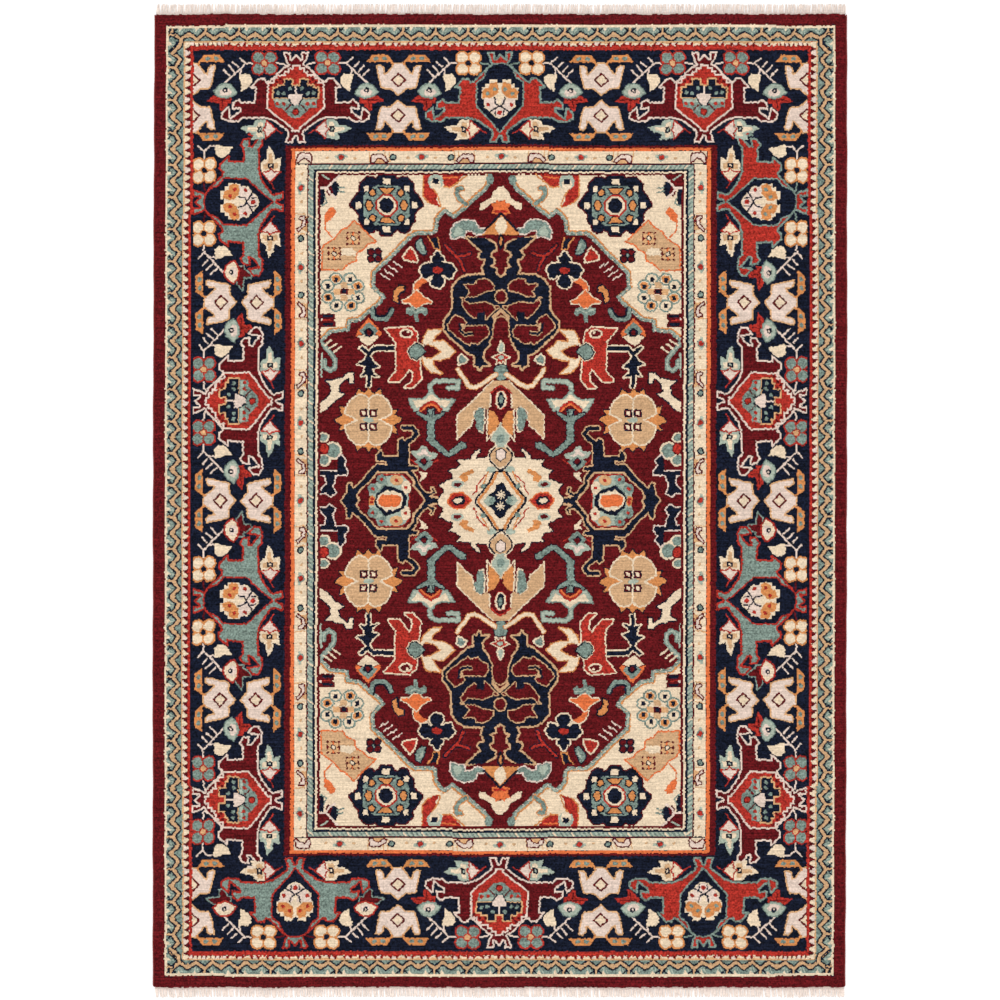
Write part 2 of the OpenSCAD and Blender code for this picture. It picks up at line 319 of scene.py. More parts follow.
def sage_bud(p):
    """Pale bud on a rust calyx."""
    p.fill(R, TAIL)
    p.line(C, 1.3, [(77, -2), (96, -3)])
    p.line(C, 1.3, [(84, -4), (85, -12)])
    p.fill(S, BUD)
    p.line(T, 1.4, BUD, closed=True)
    p.disc(B, 81, 6, 7, 4.5)
    p.disc(N, 81.5, 8.5, 3.1)
    p.disc(B, 81.5, 8, 1.3)


def red_bud(p):
    """Ivory bud with a rust edge."""
    p.figure(C, T, 1.6, TAIL)
    p.figure(I, R, 2, BUD)
    p.disc(B, 81, 6, 6, 4.5)
    p.disc(N, 81.5, 8, 2.8)
    p.disc(B, 81.5, 8.5, 1.2)


def flame(p, outer, inner, tent):
    """Three-lobed leaf with a small tent at its foot."""
    p.fill(outer, FLAME)
    p.fill(inner, FLAME_HEART)
    p.box(N, 39, -40, 44.4, -33)
    p.box(outer, 40.6, -38, 42.6, -35)
    p.line(R, 1.5, [(23, -36.5), (15.5, -41)])
    p.figure(tent, R, 1.6, TENT)


# each palmette's stem, bud, flame yarns (outer, inner, tent) and rosette yarns (petal, edge, heart, its edge)
KINDS = {
    "crimson": (B, sage_bud, (S, I, B), (T, R, P, R)),
    "rust": (T, sage_bud, (I, K, I), (I, G, N, G)),
    "teal": (C, red_bud, (I, K, B), (I, G, N, G)),
}


def palmette_unit(p, kind, corner=0):
    """A palmette with all that is round it; corner says which side faces a corner of the rug."""
    stem, bud, flame_yarns, rosette_yarns = KINDS[kind]
    keep = p.places
    for side in (-1, 1):
        p.places = mirrored(keep, side, 1)
        spray(p, stem, side != corner)
        if side != corner:
            bud(p)
        flame(p, *flame_yarns)
        rosette(p, 36.5, 40, *rosette_yarns)
    p.places = keep
    if kind == "crimson":
        crimson_palmette(p)
    elif kind == "rust":
        open_palmette(p, R, T, T)
    else:
        open_palmette(p, T, R, R)


LILY = whole([(0, 40), (5, 40), (9, 34), (13.5, 28.5), (16.5, 27), (17.5, 34), (21, 37), (25.5, 36.5),
              (23, 23.5), (20.5, 13), (19, 10.8), (9, 10.5), (0, 3)])
LILY_BAR = [(6, 41), (12.5, 49.5), (30.5, 49.5), (37, 41)]
DIAMOND = [(0, 28), (8, 20.5), (0, 13), (-8, 20.5)]


def lily_pair(p):
    """Two lilies foot to foot, each with a bar of gold over it."""
    keep = p.places
    for side in (-1, 1):
        p.places = mirrored(keep, 1, side)
        p.figure(B, P, 1.7, LILY)
        p.line(C, 2, DIAMOND, closed=True)
        p.fill(I, [(x * 0.8, 20.5 + (y - 20.5) * 0.8) for x, y in DIAMOND])

        def bar(p):
            p.fill(G, LILY_BAR)
            p.line(G, 2.2, [(6, 38), (8, 42)])
            p.disc(T, 16.5, 45, 3, 2.3)
            p.disc(T, 26.5, 45, 3, 2.3)
        both(p, bar)
    p.places = keep


MID_X, MID_TOP, MID_BOTTOM = 302, 465.2, 463.8   # middle line of the main border, in knots


def on_end(s, end):
    """Place on the end border, s along it, with its foot inwards."""
    return [(s - 0.8, MID_TOP, 1, 0, 0, 1) if end > 0 else (s, -MID_BOTTOM, 1, 0, 0, -1)]


def on_side(s, side):
    """Place on the side border, s along it, with its foot inwards."""
    return [(side * MID_X, s, 0, side, 1, 0)]


def main_border(p):
    """Palmettes and lilies by turns, all the way round."""
    for side in (-1, 1):
        for s in (-230, 0, 229):
            p.places = on_side(s, side)
            lily_pair(p)
        top = "teal" if side < 0 else "rust"
        for s, kind, corner in ((345, top, 1), (115, "crimson", 0), (-115.4, "teal", 0),
                                (-345.5, "crimson", -1)):
            p.places = on_side(s, side)
            palmette_unit(p, kind, corner)
    for end in (-1, 1):
        for s in (-354.5, -117.2, 117.2, 354.5):
            p.places = on_end(s, end)
            lily_pair(p)
    for s, top, bottom in ((-235.6, "crimson", "teal"), (0, "rust", "crimson"), (235.6, "crimson", "rust")):
        for end, kind in ((1, top), (-1, bottom)):
            p.places = on_end(s, end)
            palmette_unit(p, kind)
    free(p)


# ------------------------------------------------------------------ bands
def strip(p, length, inner, outer, place):
    """Works on one straight strip only: drawn along x, with y outwards, then placed."""
    p.places = [place]
    ox, oy, a, b, c, d = place
    xs = sorted((ox + a * -length + b * inner, ox + a * length + b * outer))
    ys = sorted((oy + c * -length + d * inner, oy + c * length + d * outer))
    p.limits = (xs[0], ys[0], xs[1], ys[1])


def zigzag(p, length, inner, outer, period, start, swing, place):
    """Zigzag band, linked to its outer edge once a period from start; swing is how far it goes."""
    strip(p, length, inner, outer, place)
    p.box(T, -length, inner, length, outer)
    span = outer - inner
    low, node, wedge = inner + swing[0] * span, inner + 0.6 * span, inner + swing[1] * span
    steps = int(length // period) + 2
    links = [(k + start) * period for k in range(-steps, steps + 1)]
    if start < 0.25:
        links = [x - 1.4 * math.sin(math.pi * x / (9 * period)) for x in links]
    else:
        links = [x + math.copysign(0.018 * max(0, abs(x) - 380), x) for x in links]
    path = []
    for x in links:
        path += [(x, node), (x + 0.25 * period, low), (x + 0.5 * period, wedge), (x + 0.75 * period, low)]
        for at in (0.25, 0.75):
            lobe = x + at * period
            p.fill(S, [(lobe - 6, outer - 1), (lobe + 5.5, outer), (lobe + 1.5, low + 6),
                       (lobe - 2, low + 5.5)])
            p.fill(I, [(lobe - 2.5, outer), (lobe + 2.5, outer), (lobe - 1.5, outer - 5)])
            p.line(T, 1.3, [(lobe + 4, outer), (lobe + 0.5, outer - 5), (lobe + 0.5, outer - 8)])
            p.line(T, 1.2, [(lobe - 5, outer - 1), (lobe - 2, outer - 5.5)])
        if abs(x) < length:
            p.line(N, 1.8, [(x - 6.5, outer - 0.8), (x - 3, outer - 4), (x, node)])
            p.line(N, 1.8, [(x + 6.5, outer - 0.8), (x + 3, outer - 4), (x, node)])
    p.line(N, 6.9, path)
    inside = [x for x in links if abs(x) < length]
    for x in inside:
        p.line(N, 5.6, [(x, node), (x, outer - 3)])
    p.line(K, 3.3, path)
    for x in inside:
        p.line(K, 2.3, [(x, node), (x, outer)])
    for x in links:
        p.fill(K, [(x + 0.5 * period - 5, wedge - 2), (x + 0.5 * period, wedge + 1.8),
                   (x + 0.5 * period + 5, wedge - 2),
                   (x + 0.5 * period, wedge - 5)])
    free(p)


def beads(p, length, inner, outer, place, pitch, slant):
    """Pale teeth that point inwards, divided by dark nicks; with no slant they are paired beads."""
    strip(p, length, inner, outer, place)
    p.box(R, -length, inner - 1, length, outer)
    p.box(P, -length, outer - 2, length, outer)
    steps = int(length // pitch) + 1
    foot = outer - 1.6
    for k in range(-steps, steps):
        x = k * pitch
        if slant:
            tip = x + 0.5 * pitch + slant
            p.fill(C, [(tip, inner), (tip - pitch, inner), (x, foot)])
            p.fill(B if k % 3 == 0 else I, [(x + 0.5, foot), (x + pitch - 0.5, foot), (tip + 2.3, inner),
                                            (tip - 2.3, inner)])
            continue
        for a, b, yarn in ((0.04, 0.37, B), (0.45, 0.96, I)):
            left, right = x + a * pitch, x + b * pitch
            p.fill(yarn, [(left, foot), (right, foot), (right - 0.5, inner + 2), (right - 1.5, inner + 0.3),
                          (left + 1.5, inner + 0.3), (left + 0.5, inner + 2)])
        p.line(P, 1.6, [(x + 0.45 * pitch, foot), (x + 0.94 * pitch, foot)])
        for at in (0, 0.41):
            p.line(C, 1.5, [(x + at * pitch - 0.8, inner), (x + at * pitch + 0.6, outer - 2)])
    free(p)


def guard(p, length, mid, half_w, hooks, rings, dots, hook, place):
    """Pale band with hooks, ring dots and red dots at their places along it, mirrored."""
    strip(p, length, mid - half_w, mid + half_w, place)
    p.box(I, -length, mid - half_w, length, mid + half_w)
    for s in (-1, 1):
        for a, face in hooks:
            p.fill(P, [(s * (a + x), mid + y) for x, y in ((-9, -7), (9, -7), (4, 0), (-4, 0))])
            for d in (-12, -7, 11):
                p.line(P, 1.3, [(s * (a + face * d), mid - 5), (s * (a + face * d + 1), mid + 6)])
            p.figure(B, C, 1.5, [(s * (a + face * x), mid + y) for x, y in hook])
        for x in rings:
            p.disc(N, s * x, mid, 4.4, 3.9)
            p.disc(T, s * x, mid, 2.7, 2.4)
        for x in dots:
            p.line(S, 3.4, [(s * x - 6, mid + 1), (s * x + 6, mid + 1)])
            p.disc(T, s * x, mid, 4.6, 4.2)
            p.disc(R, s * x, mid, 3.2, 2.9)
            for d in (-16, 16):
                p.disc(K, s * x + d, mid - 1, 2, 1.4)
    free(p)


def barber(p, length, inner, outer, place):
    """Narrow band of slanting stripes."""
    strip(p, length, inner, outer, place)
    p.box(S, -length, inner, length, outer)
    span = outer - inner
    for k in range(math.ceil(2 * length / STRIPE_PITCH)):
        x = k * STRIPE_PITCH - length
        p.line(T, 1.9, [(x, inner), (x + span * 0.8, outer)])
        if k % 4 == 0:
            p.line(I, 1.8, [(x + 2.6, inner + 1), (x + span * 0.8 + 1.6, outer)])
    free(p)


STRIPE_PITCH = 5.4
TOP, BOTTOM = (0, 0, 1, 0, 0, 1), (0, 0, 1, 0, 0, -1)
RIGHT, LEFT = (0, 0, 0, 1, 1, 0), (0, 0, 0, -1, 1, 0)
# the guard and the lines inside it sit a little to the right and are a little shorter
INNER = (0.7, 0, 1, 0, 0, 0.998)
INNER_ENDS = [(0.7, 0, 1, 0, 0, side * 0.998) for side in (1, -1)]
INNER_SIDES = [(0.7, 0, 0, side, 0.998, 0) for side in (1, -1)]
END_HOOK = [(10.2, -6.4), (10.2, 0.5), (8, 3), (-2, 3.4), (-7.5, -0.5), (-10.5, -5), (-7, -6.3),
            (-2.5, -2.2), (2.5, -1.8), (6, -6.4)]
SIDE_HOOK = [(8.5, 1.8), (9, -4.4), (3.5, -6), (-2.2, -4.8), (-9.5, 3.2), (-6, 4.6), (-2.2, -0.4),
             (3.5, -1.8), (5.7, 1.8)]
CORNER_HOOK = [(237.3, 391.9), (235, 400.5), (231.5, 402.7), (220.7, 402), (218.5, 397.6), (219, 390.4),
               (222.3, 392.6), (225.7, 396.5), (230.8, 394.5), (234.2, 391)]


def stepped(p, yarn, ox, oy, ix, iy, at, step):
    """A frame line whose long sides stand a little further in between two jogs."""
    p.frame(yarn, ox, oy, ix, iy)
    for s in (-1, 1):
        p.box(yarn, s * (ix - step), -at, s * ox, at)


def bands(p):
    """Every band and line outside and inside the main border."""
    p.frame(C, 400, 561.5, 386, 549.6)
    p.frame(I, 386, 548.2, 383.4, 545.4)
    for s in (-1, 1):
        p.box(I, -318, s * 546.8, 318, s * 549.6)
    # ends are drawn first, and the sides run past them to the corners
    for place, start in ((TOP, -0.02), (BOTTOM, 0)):
        zigzag(p, 383.4, 530.4, 546.8, 37.8, start, (0.15, 0.54), place)
        strip(p, 383.4, 545.4, 549.6, place)
        p.box(C, -386, 548.2, -318, 549.6)
        p.box(C, 318, 548.2, 386, 549.6)
        p.box(I, -383.4, 545.4, -318, 548.2)
        p.box(I, 318, 545.4, 383.4, 548.2)
        free(p)
    for place in (RIGHT, LEFT):
        zigzag(p, 530.6, 365.4, 383.6, 36.9, 0.5, (0.24, 0.76), place)
    for s in (-1, 1):
        for t in (-1, 1):
            p.places = [(0, 0, s, 0, 0, t)]
            p.line(N, 6.9, [(377, 518.6), (369.8, 525.8), (369, 531)])
            p.line(N, 5, [(378, 538), (381.6, 538)])
            p.line(K, 3.5, [(379, 516.6), (369.8, 525.8), (369, 533.4)])
            p.line(K, 2.4, [(378, 538), (383.6, 538)])
    for place in (TOP, BOTTOM):
        beads(p, 364.5, 524.6, 530.6, place, 5.2, 2)
        beads(p, 320.4, 525.6, 530.6, place, 17.8, 0)
    for place in (RIGHT, LEFT):
        beads(p, 530, 358, 365.8, place, 9, 0.6)
    p.frame(R, 358, 525.2, 354.6, 520.2)
    for place in (RIGHT, LEFT):
        strip(p, 330, 354, 367.4, place)
        p.box(N, -330, 354, 330, 358)
        beads(p, 330, 360, 367.4, place, 9, 0.6)
        strip(p, 330, 356.8, 360, place)
        p.box(R, -330, 356.8, 330, 360)
        free(p)
    p.places = [INNER]
    p.frame(C, 249, 410.8, 242.2, 408)
    p.frame(O, 242.2, 408, 237.8, 404.4)
    for place in INNER_ENDS:
        guard(p, 237.8, 397.2, 7.4, ((41.5, -1), (140.5, 1)), (58, 125), (0, 92, 185), END_HOOK, place)
    for place in INNER_SIDES:
        guard(p, 389, 230.8, 7, ((40, -1), (139.5, 1), (221, -1), (320.5, 1)), (57, 124, 238, 303.5),
              (0, 90, 181.5, 270, 362), SIDE_HOOK, place)
    p.places = [(INNER[0], 0, s, 0, 0, t * INNER[5]) for s in (-1, 1) for t in (-1, 1)]
    p.figure(B, C, 1.6, CORNER_HOOK)
    p.places = [INNER]
    p.frame(C, 223.6, 389.8, 222.2, 388.6)
    for place in INNER_ENDS:
        barber(p, 222.2, 383, 388.6, place)
    for place in INNER_SIDES:
        barber(p, 388.6, 215.5, 222.2, place)
    p.places = [INNER]
    stepped(p, N, 216.6, 383, 213.8, 380.8, 356, 1.4)
    stepped(p, I, 213.8, 380.8, 211.2, 378.8, 356, 1.4)
    stepped(p, C, 211.2, 378.8, 209.6, 376.6, 356, 1.4)
    free(p)
    # in the middle of each end the lines step out by one row of tufts
    left, right, first, last = COLS // 2 - 54, COLS // 2 + 56, ROWS // 2 + 376, ROWS // 2 + 411
    p.knots[first + 1:last + 1, left:right] = p.knots[first:last, left:right].copy()
    p.knots[ROWS - last - 1:ROWS - first - 1, left:right] = p.knots[ROWS - last:ROWS - first,
                                                                    left:right].copy()


# ------------------------------------------------------------------ field
SPANDREL = [(13, 378), (13, 370), (18, 361), (25, 355), (32, 349), (38, 343), (46, 336), (55, 329),
            (60, 333), (64, 336), (69, 332), (74, 325), (75, 313), (78, 310), (98, 310), (105, 305),
            (122, 287), (146, 264), (147, 247), (140, 240), (135, 236), (140, 229), (150, 221), (162, 210),
            (175, 208), (176, 198), (196, 196), (210, 182)]


def shifted(points, dx, dy):
    """An outline moved a little."""
    return [(x + dx, y + dy) for x, y in points]


def turned(points, cx, cy, sx=1, sy=1):
    """An outline drawn round its own middle, mirrored if asked, and put at a place."""
    return [(cx + sx * x, cy + sy * y) for x, y in points]


def field(p):
    """The red field: one quarter is drawn, and its marks go to all four."""
    free(p)
    p.box(C, -212, -380, 212, 380)
    p.limits = (-208.4, -376, 209.8, 376)
    p.places = [(0.9, 0, a, 0, 0, d) for a in (1.004, -1.004) for d in (0.9963, -0.9963)]
    spandrel_corner(p)
    upper_flowers(p)
    keep = p.places
    p.places = [(0.9, 0, 0.974 * a, 0, 0, d) for _, _, a, _, _, d in keep]
    urn(p)
    p.places = keep
    middle_flowers(p)
    edge_figures(p)
    palm_ring(p)
    wing(p)
    medallion(p)
    free(p)


ROSETTE = whole([(0, 35), (9, 35), (12, 31), (17, 33), (23, 33), (27, 29), (31, 25), (31, 17), (35, 13),
                 (38, 8), (42, 2), (42, -1), (36, -5), (32, -10), (32, -18), (28, -23), (26, -29),
                 (21, -32), (16, -31), (13, -28), (9, -30), (6, -35), (0, -35)])


def spandrel_corner(p):
    """The ivory corner of the field, with its rosettes, shield, flowers and leaf."""
    p.fill(I, SPANDREL + [(212, 184), (212, 380), (13, 380)])
    p.line(G, 4.6, shifted(SPANDREL, 1.3, 1.3))
    p.line(T, 4.4, SPANDREL)
    p.line(S, 1.4, shifted(SPANDREL, 0.4, 0.8))
    for (ax, ay), (bx, by) in zip(SPANDREL, SPANDREL[1:]):
        length = math.hypot(bx - ax, by - ay)
        for i in range(int(length / 4)):
            t = (i + 0.5) * 4 / length
            side = (-0.9, 1.1)[i % 2]
            p.disc((B, K, I)[i % 3], ax + (bx - ax) * t + side, ay + (by - ay) * t + side, 1.3, 0.6)
    p.disc(T, 13, 372, 4.5, 6)
    for yarn, width in ((G, 7), (T, 4.6)):
        p.line(yarn, width, [(40, 344), (48, 350), (51, 356), (50, 362), (45, 362)])
    # scalloped rosette
    cx, cy = 131.5, 342
    p.line(C, 2.6, turned(ROSETTE, cx, cy), closed=True)
    p.fill(N, turned(ROSETTE, cx, cy))
    for sx in (-1, 1):
        p.fill(I, turned([(29, -3.5), (29, 4), (35.5, 4), (35.5, -3.5)], cx, cy, sx))
        p.fill(I, turned([(-4.4, 24.5), (4.4, 24.5), (4.4, 31), (-4.4, 31)], cx, cy, 1, sx))
        for sy in (-1, 1):
            p.fill(I, turned([(20.5, 16), (20.5, 22.5), (26, 22.5), (26, 16)], cx, cy, sx, sy))
    p.fill(T, turned(whole([(0, 23), (13, 23), (20, 18), (26.5, 12), (26.5, -12), (20, -18), (13, -23),
                            (0, -23)]), cx, cy))
    for s in (-1, 1):
        p.figure(G, N, 1.5, turned(whole([(0, 20.5), (10, 20.5), (6, 16), (3, 13), (0, 13)]), cx, cy, 1, s))
        p.figure(G, N, 1.5, turned([(25, 0), (22, 6.5), (18, 6), (15, 0), (18, -6), (22, -6.5)], cx, cy, s))
        for t in (-1, 1):
            p.figure(G, N, 1.7, turned([(12, 13), (13, 18), (17, 19.5), (20.5, 16), (20, 12), (16, 10)],
                                       cx, cy, s, t))
    ring = whole([(0, 13), (5, 13), (13, 5), (13, -5), (5, -13), (0, -13)])
    p.fill(R, turned(ring, cx, cy))
    p.fill(I, turned([(x * 0.84, y * 0.84) for x, y in ring], cx, cy))
    p.fill(N, turned([(x * 0.62, y * 0.66) for x, y in ring], cx, cy))
    # camel shield with two red flowers
    shield = [(206, 267), (182, 267), (176, 274), (167, 278), (166, 287), (158, 291), (153, 297),
              (143, 300), (156, 312), (169, 325), (177, 316), (184, 313), (192, 303), (203, 296),
              (206, 292)]
    p.figure(K, O, 1.8, shield)
    p.fill(I, [(185, 284), (183, 292), (172, 293), (166, 288), (168, 284)])
    for x, y in ((170, 304), (192, 286)):
        p.disc(C, x, y, 8, 7.6)
        for sx in (-1, 1):
            for sy in (-1, 1):
                p.disc(P, x + 3.4 * sx, y + 3.2 * sy, 3.2, 3)
                p.disc(C, x + 6.6 * sx, y + 6.4 * sy, 1.4)
        p.line(O, 1.8, [(x, y - 6.4), (x, y + 6.4)])
        p.disc(N, x, y, 3.2)
        p.disc(I, x, y, 2)
    p.fill(O, [(193, 340), (189, 335), (196, 325), (203, 321), (203, 331), (197, 339)])
    p.line(O, 1.7, [(202, 322), (202, 314), (194, 305)])
    # dark four-lobed flower
    for yarn, size in ((N, 4.9), (C, 3.3)):
        for x, y in ((141.4, 280.2), (141.4, 288), (149.6, 280.2), (149.6, 288)):
            p.disc(yarn, x, y, size)
    p.box(N, 143.4, 281.5, 147.6, 287)
    p.disc(T, 145.5, 284.2, 1.2, 2.2)
    # ring of eight flowers
    for x, y, yarn in ((189.5, 257, G), (173.5, 257, I), (164.5, 249, G), (199.5, 249, I), (164.5, 235, I),
                       (199, 235, G), (189.5, 226, I), (172.5, 226, G)):
        p.disc(T, x, y, 8, 7.4)
        p.disc(I, x, y, 6, 5.5)
        p.disc(yarn, x, y, 5, 4.4)
    for x, y, yarn in ((180.5, 249.5, K), (180.5, 234.5, K), (172.5, 242, P), (188.5, 242, P)):
        p.box(yarn, x - 4, y - 3.4, x + 4, y + 3.4)
    for x, y in ((189.5, 256), (173.5, 256), (164.5, 248), (199, 248), (164.5, 235), (199, 235),
                 (189.5, 226.5), (172.5, 226)):
        p.box(N, x - 2.2, y - 2.7, x + 2.2, y + 2.7)
    p.box(C, 176, 239, 185, 245.5)
    p.box(N, 178, 240, 183, 244.5)
    # edge and corner flowers
    p.box(C, 190.5, 201, 212, 216.5)
    p.box(N, 193, 212, 205, 215)
    p.box(N, 193, 202.5, 205, 206)
    p.disc(I, 190, 209, 2.4, 1.6)
    p.line(R, 1.6, [(196, 209), (208, 209)])
    p.disc(B, 206.5, 210, 1.6)
    p.fill(C, [(212, 380), (186, 380), (192, 370), (200, 361), (212, 364)])
    p.fill(N, [(189, 370), (186, 364), (186, 358), (190, 353), (196, 357), (198, 364), (193, 371)])
    p.fill(C, [(196, 366), (193, 356), (198, 352), (201, 358)])
    p.line(T, 1.8, [(187, 363), (180, 362)])
    p.line(T, 1.8, [(187, 359), (180, 357)])
    p.fill(N, [(212, 360), (203, 361), (202, 350), (204, 343), (212, 341)])
    p.line(B, 2.4, [(186, 377), (193, 370), (200, 362), (212, 362)])
    p.line(B, 2.2, [(200, 362), (197, 356), (190, 351)])
    p.line(S, 2, [(198, 372), (206, 377)])
    p.line(T, 1.6, [(203, 352), (200, 345), (206, 341)])
    # rust leaf with a ring flower
    p.line(G, 2.2, [(89, 377), (89.5, 353), (84, 346), (70, 341)])
    p.fill(R, [(89, 380), (89, 353), (83, 346), (76, 342), (70, 341), (74, 348), (74, 355), (79, 361),
               (82, 367), (82, 380)])
    p.line(G, 1.6, [(69, 342), (73, 354), (80, 364)])
    p.fill(R, [(69, 380), (42, 380), (50, 370), (58, 363), (66, 365)])
    p.line(G, 1.8, [(40, 377), (50, 369), (58, 363), (66, 364)])
    p.line(O, 1.6, [(66, 374), (50, 375)])
    p.disc(S, 75.5, 369.5, 8.8)
    p.disc(I, 75.5, 367, 6, 6.5)
    p.box(N, 72, 367, 79, 373)


CROSS_FLOWER = whole([(0, 22), (2, 21), (4, 16), (7, 15), (7, 11), (4, 9), (11, 8), (14, 8), (17, 6),
                      (20, 2), (21, 0), (18, -4), (17, -9), (11, -9), (8, -6), (4, -6), (6, -9), (8, -13),
                      (7, -17), (3, -20), (0, -20)])
TULIP = whole([(0, 13), (4, 9), (9, 4), (17, 0), (16, -2), (8, -2), (3, -7), (0, -7)])


def upper_flowers(p):
    """Flowers and stems of the field near its end."""
    p.line(I, 3.6, turned(CROSS_FLOWER, 73, 267), closed=True)
    p.fill(N, turned(CROSS_FLOWER, 73, 267))
    p.disc(R, 73, 267, 6, 3.8)
    p.line(I, 3, [(92, 258), (84, 255)])
    p.fill(O, [(91, 258), (83, 254), (90, 251), (94, 247), (95, 241), (100, 243), (100, 250), (97, 255)])
    p.line(I, 1.4, [(92, 258), (98, 254), (101, 248), (101, 243)])
    p.line(I, 2.6, turned(TULIP, 97, 231), closed=True)
    p.fill(O, turned(TULIP, 97, 231))
    p.fill(T, [(109, 223), (101, 225), (98, 221), (93, 225), (85, 223), (84, 217), (88, 214), (91, 218),
               (95, 216), (95, 207), (99, 207), (100, 216), (103, 214), (109, 217)])
    p.line(S, 1.5, [(108, 222), (102, 221), (98, 218), (92, 221), (86, 221)])
    hook = [(112, 248), (117, 249), (123, 243), (124, 232), (119, 229), (119, 236), (117, 241), (112, 243)]
    p.line(N, 3.4, shifted(hook, -0.5, 0), closed=True)
    p.fill(G, hook)
    p.line(N, 7.2, [(147, 222), (146, 214), (142, 211), (133, 211), (127, 217), (126, 221)])
    p.line(T, 4.6, [(148, 223), (147, 213), (143, 210), (132, 210), (127, 216), (125, 221)])
    p.figure(R, I, 2, [(104, 294), (100, 290), (96, 281), (96, 276), (104, 277), (112, 279), (113, 283),
                       (108, 290)])
    leaf = [(92, 304), (97, 300), (98, 294), (94, 288), (90, 285), (86, 286), (87, 292), (90, 299)]
    p.line(N, 2.6, leaf, closed=True)
    p.fill(T, leaf)
    p.fill(S, [(94, 299), (91, 292), (89, 289), (88, 293), (91, 299)])
    p.fill(N, [(83, 304), (73, 304), (71, 296), (71, 291), (77, 292), (79, 298)])
    p.line(G, 1.6, [(84, 305), (79, 299), (77, 292), (70, 291)])
    p.line(G, 1.6, [(73, 305), (71, 298), (70, 292)])
    for x, y in ((123.5, 277), (129, 272), (134, 267.5), (138.5, 263)):
        p.line(B, 1.6, [(x, y), (x - 4, y - 4), (x - 5.5, y - 3.2), (x - 10, y - 7)])
    for yarn, width in ((N, 5.4), (R, 2.8)):
        p.line(yarn, width, [(64, 296), (55.5, 287), (51, 283), (41, 284.6), (36, 287)])
        p.line(yarn, width, [(51, 283), (46, 276.6), (42.6, 267)])
    cloud = [(57, 304), (57.5, 313), (52.5, 321.5), (42.5, 325.5), (31, 324), (27.5, 319), (26.5, 315),
             (18, 315), (21, 310), (28, 308.5), (34, 313), (41, 313.5), (42, 306), (48, 306.5), (53, 304)]
    p.line(B, 3, cloud, closed=True)
    p.fill(T, cloud)
    p.fill(S, [(55, 310), (50, 319), (44, 314), (45, 308), (53, 306)])
    # leaf, star and triangle on the middle line
    p.fill(I, whole([(0, 364), (2.5, 364), (5.5, 361), (9, 357.5), (11, 351), (17, 347.5), (24, 344),
                     (24.5, 337), (19, 337.5), (13, 342.5), (6, 346), (0, 348)]))
    p.fill(O, whole([(0, 337), (4, 331), (11, 333), (8, 339), (12, 344), (6, 345), (5, 349), (0, 346)]))
    p.fill(R, whole([(0, 333), (4, 334), (9, 334), (6, 337), (0, 336)]))
    p.line(N, 2.4, [(0, 333), (11, 321), (19, 313)])
    p.fill(G, whole([(0, 331), (10, 320), (22, 308), (0, 308)]))
    p.fill(I, whole([(0, 329), (3, 327), (6.5, 322), (7, 316), (4, 311), (1.5, 308), (0, 308)]))
    p.figure(G, N, 2.2, whole([(0, 308), (2.6, 304), (2.6, 298), (0, 291)]))


URN_NECK = [(40, 305), (33, 299), (28, 294), (22, 290), (26, 284), (24, 281), (18, 280), (20, 273),
            (22, 270), (19, 262), (41, 261), (50, 256), (57, 247), (57, 222), (61, 215), (67, 208),
            (67, 198), (60, 190), (52, 183), (44, 176), (38, 171), (31, 169), (31, 157), (27, 156),
            (25, 152), (23, 157), (14, 157), (20, 161), (22, 166), (21, 173), (15, 180), (10, 186),
            (8, 200), (10, 212), (0, 221), (0, 258), (6, 262), (6, 268), (13, 271), (9, 275), (9, 280),
            (13, 282), (12, 288), (6, 291), (7, 297), (14, 301), (20, 305)]
URN_CUTS = [
    [(43, 251), (33, 250), (29, 252), (28, 256), (20, 257), (13, 254), (9, 249), (9, 244), (20, 242),
     (30, 237), (40, 237), (36, 242)],
    [(47, 235), (44, 235), (46, 228), (38, 217), (31, 212), (28, 213), (28, 218), (19, 219), (18, 210),
     (6, 222), (10, 226), (20, 230), (38, 228), (43, 232)],
    [(63, 204), (54, 215), (45, 211), (42, 207), (45, 202), (18, 203), (14, 196), (16, 190), (22, 187),
     (27, 182), (36, 184), (38, 181), (46, 186), (55, 193), (62, 199)],
]


def urn(p):
    """The navy urn on the long axis."""
    p.line(K, 4.6, URN_NECK[:-1], closed=True)
    p.fill(N, URN_NECK)
    p.line(K, 1.6, [(0, 222), (10, 213)])
    for cut in URN_CUTS:
        p.line(K, 2.6, cut, closed=True)
        p.fill(C, cut)
    p.fill(N, [(28, 218), (28, 212), (21, 203), (19, 208), (19, 219)])
    p.line(K, 5, [(46, 203), (47, 197), (43, 193), (35, 194)])
    p.line(N, 2.8, [(49, 205), (48, 197), (43, 193), (34, 194)])
    p.fill(C, whole([(0, 244), (4, 243), (6, 238), (6, 233), (3, 230), (0, 230)]))
    p.line(K, 1.6, whole([(0, 244), (4, 243), (7, 238), (7, 233), (3, 229), (0, 229)]), closed=True)
    p.fill(C, whole([(0, 212), (5, 210), (9, 205), (10, 190), (13, 181), (0, 181)]))
    p.line(K, 1.6, [(0, 214), (6, 211), (9, 205), (10, 190), (14, 182)])
    p.disc(K, 5, 224, 3.6, 2.6)
    p.disc(C, 5, 224, 2, 1.4)
    p.figure(S, I, 1.6, whole([(0, 185), (3, 180), (4, 174), (0, 170)]))
    star = whole([(0, 171), (4, 169), (11, 166), (5, 163), (6, 157), (2, 161), (0, 156)])
    p.figure(R, I, 1.5, star)
    p.disc(S, 0, 165.5, 3.6, 2.4)
    blob = whole([(0, 157), (6, 156), (8, 150), (7, 144), (4, 140), (0, 139)])
    p.line(N, 2, blob, closed=True)
    p.fill(T, blob)


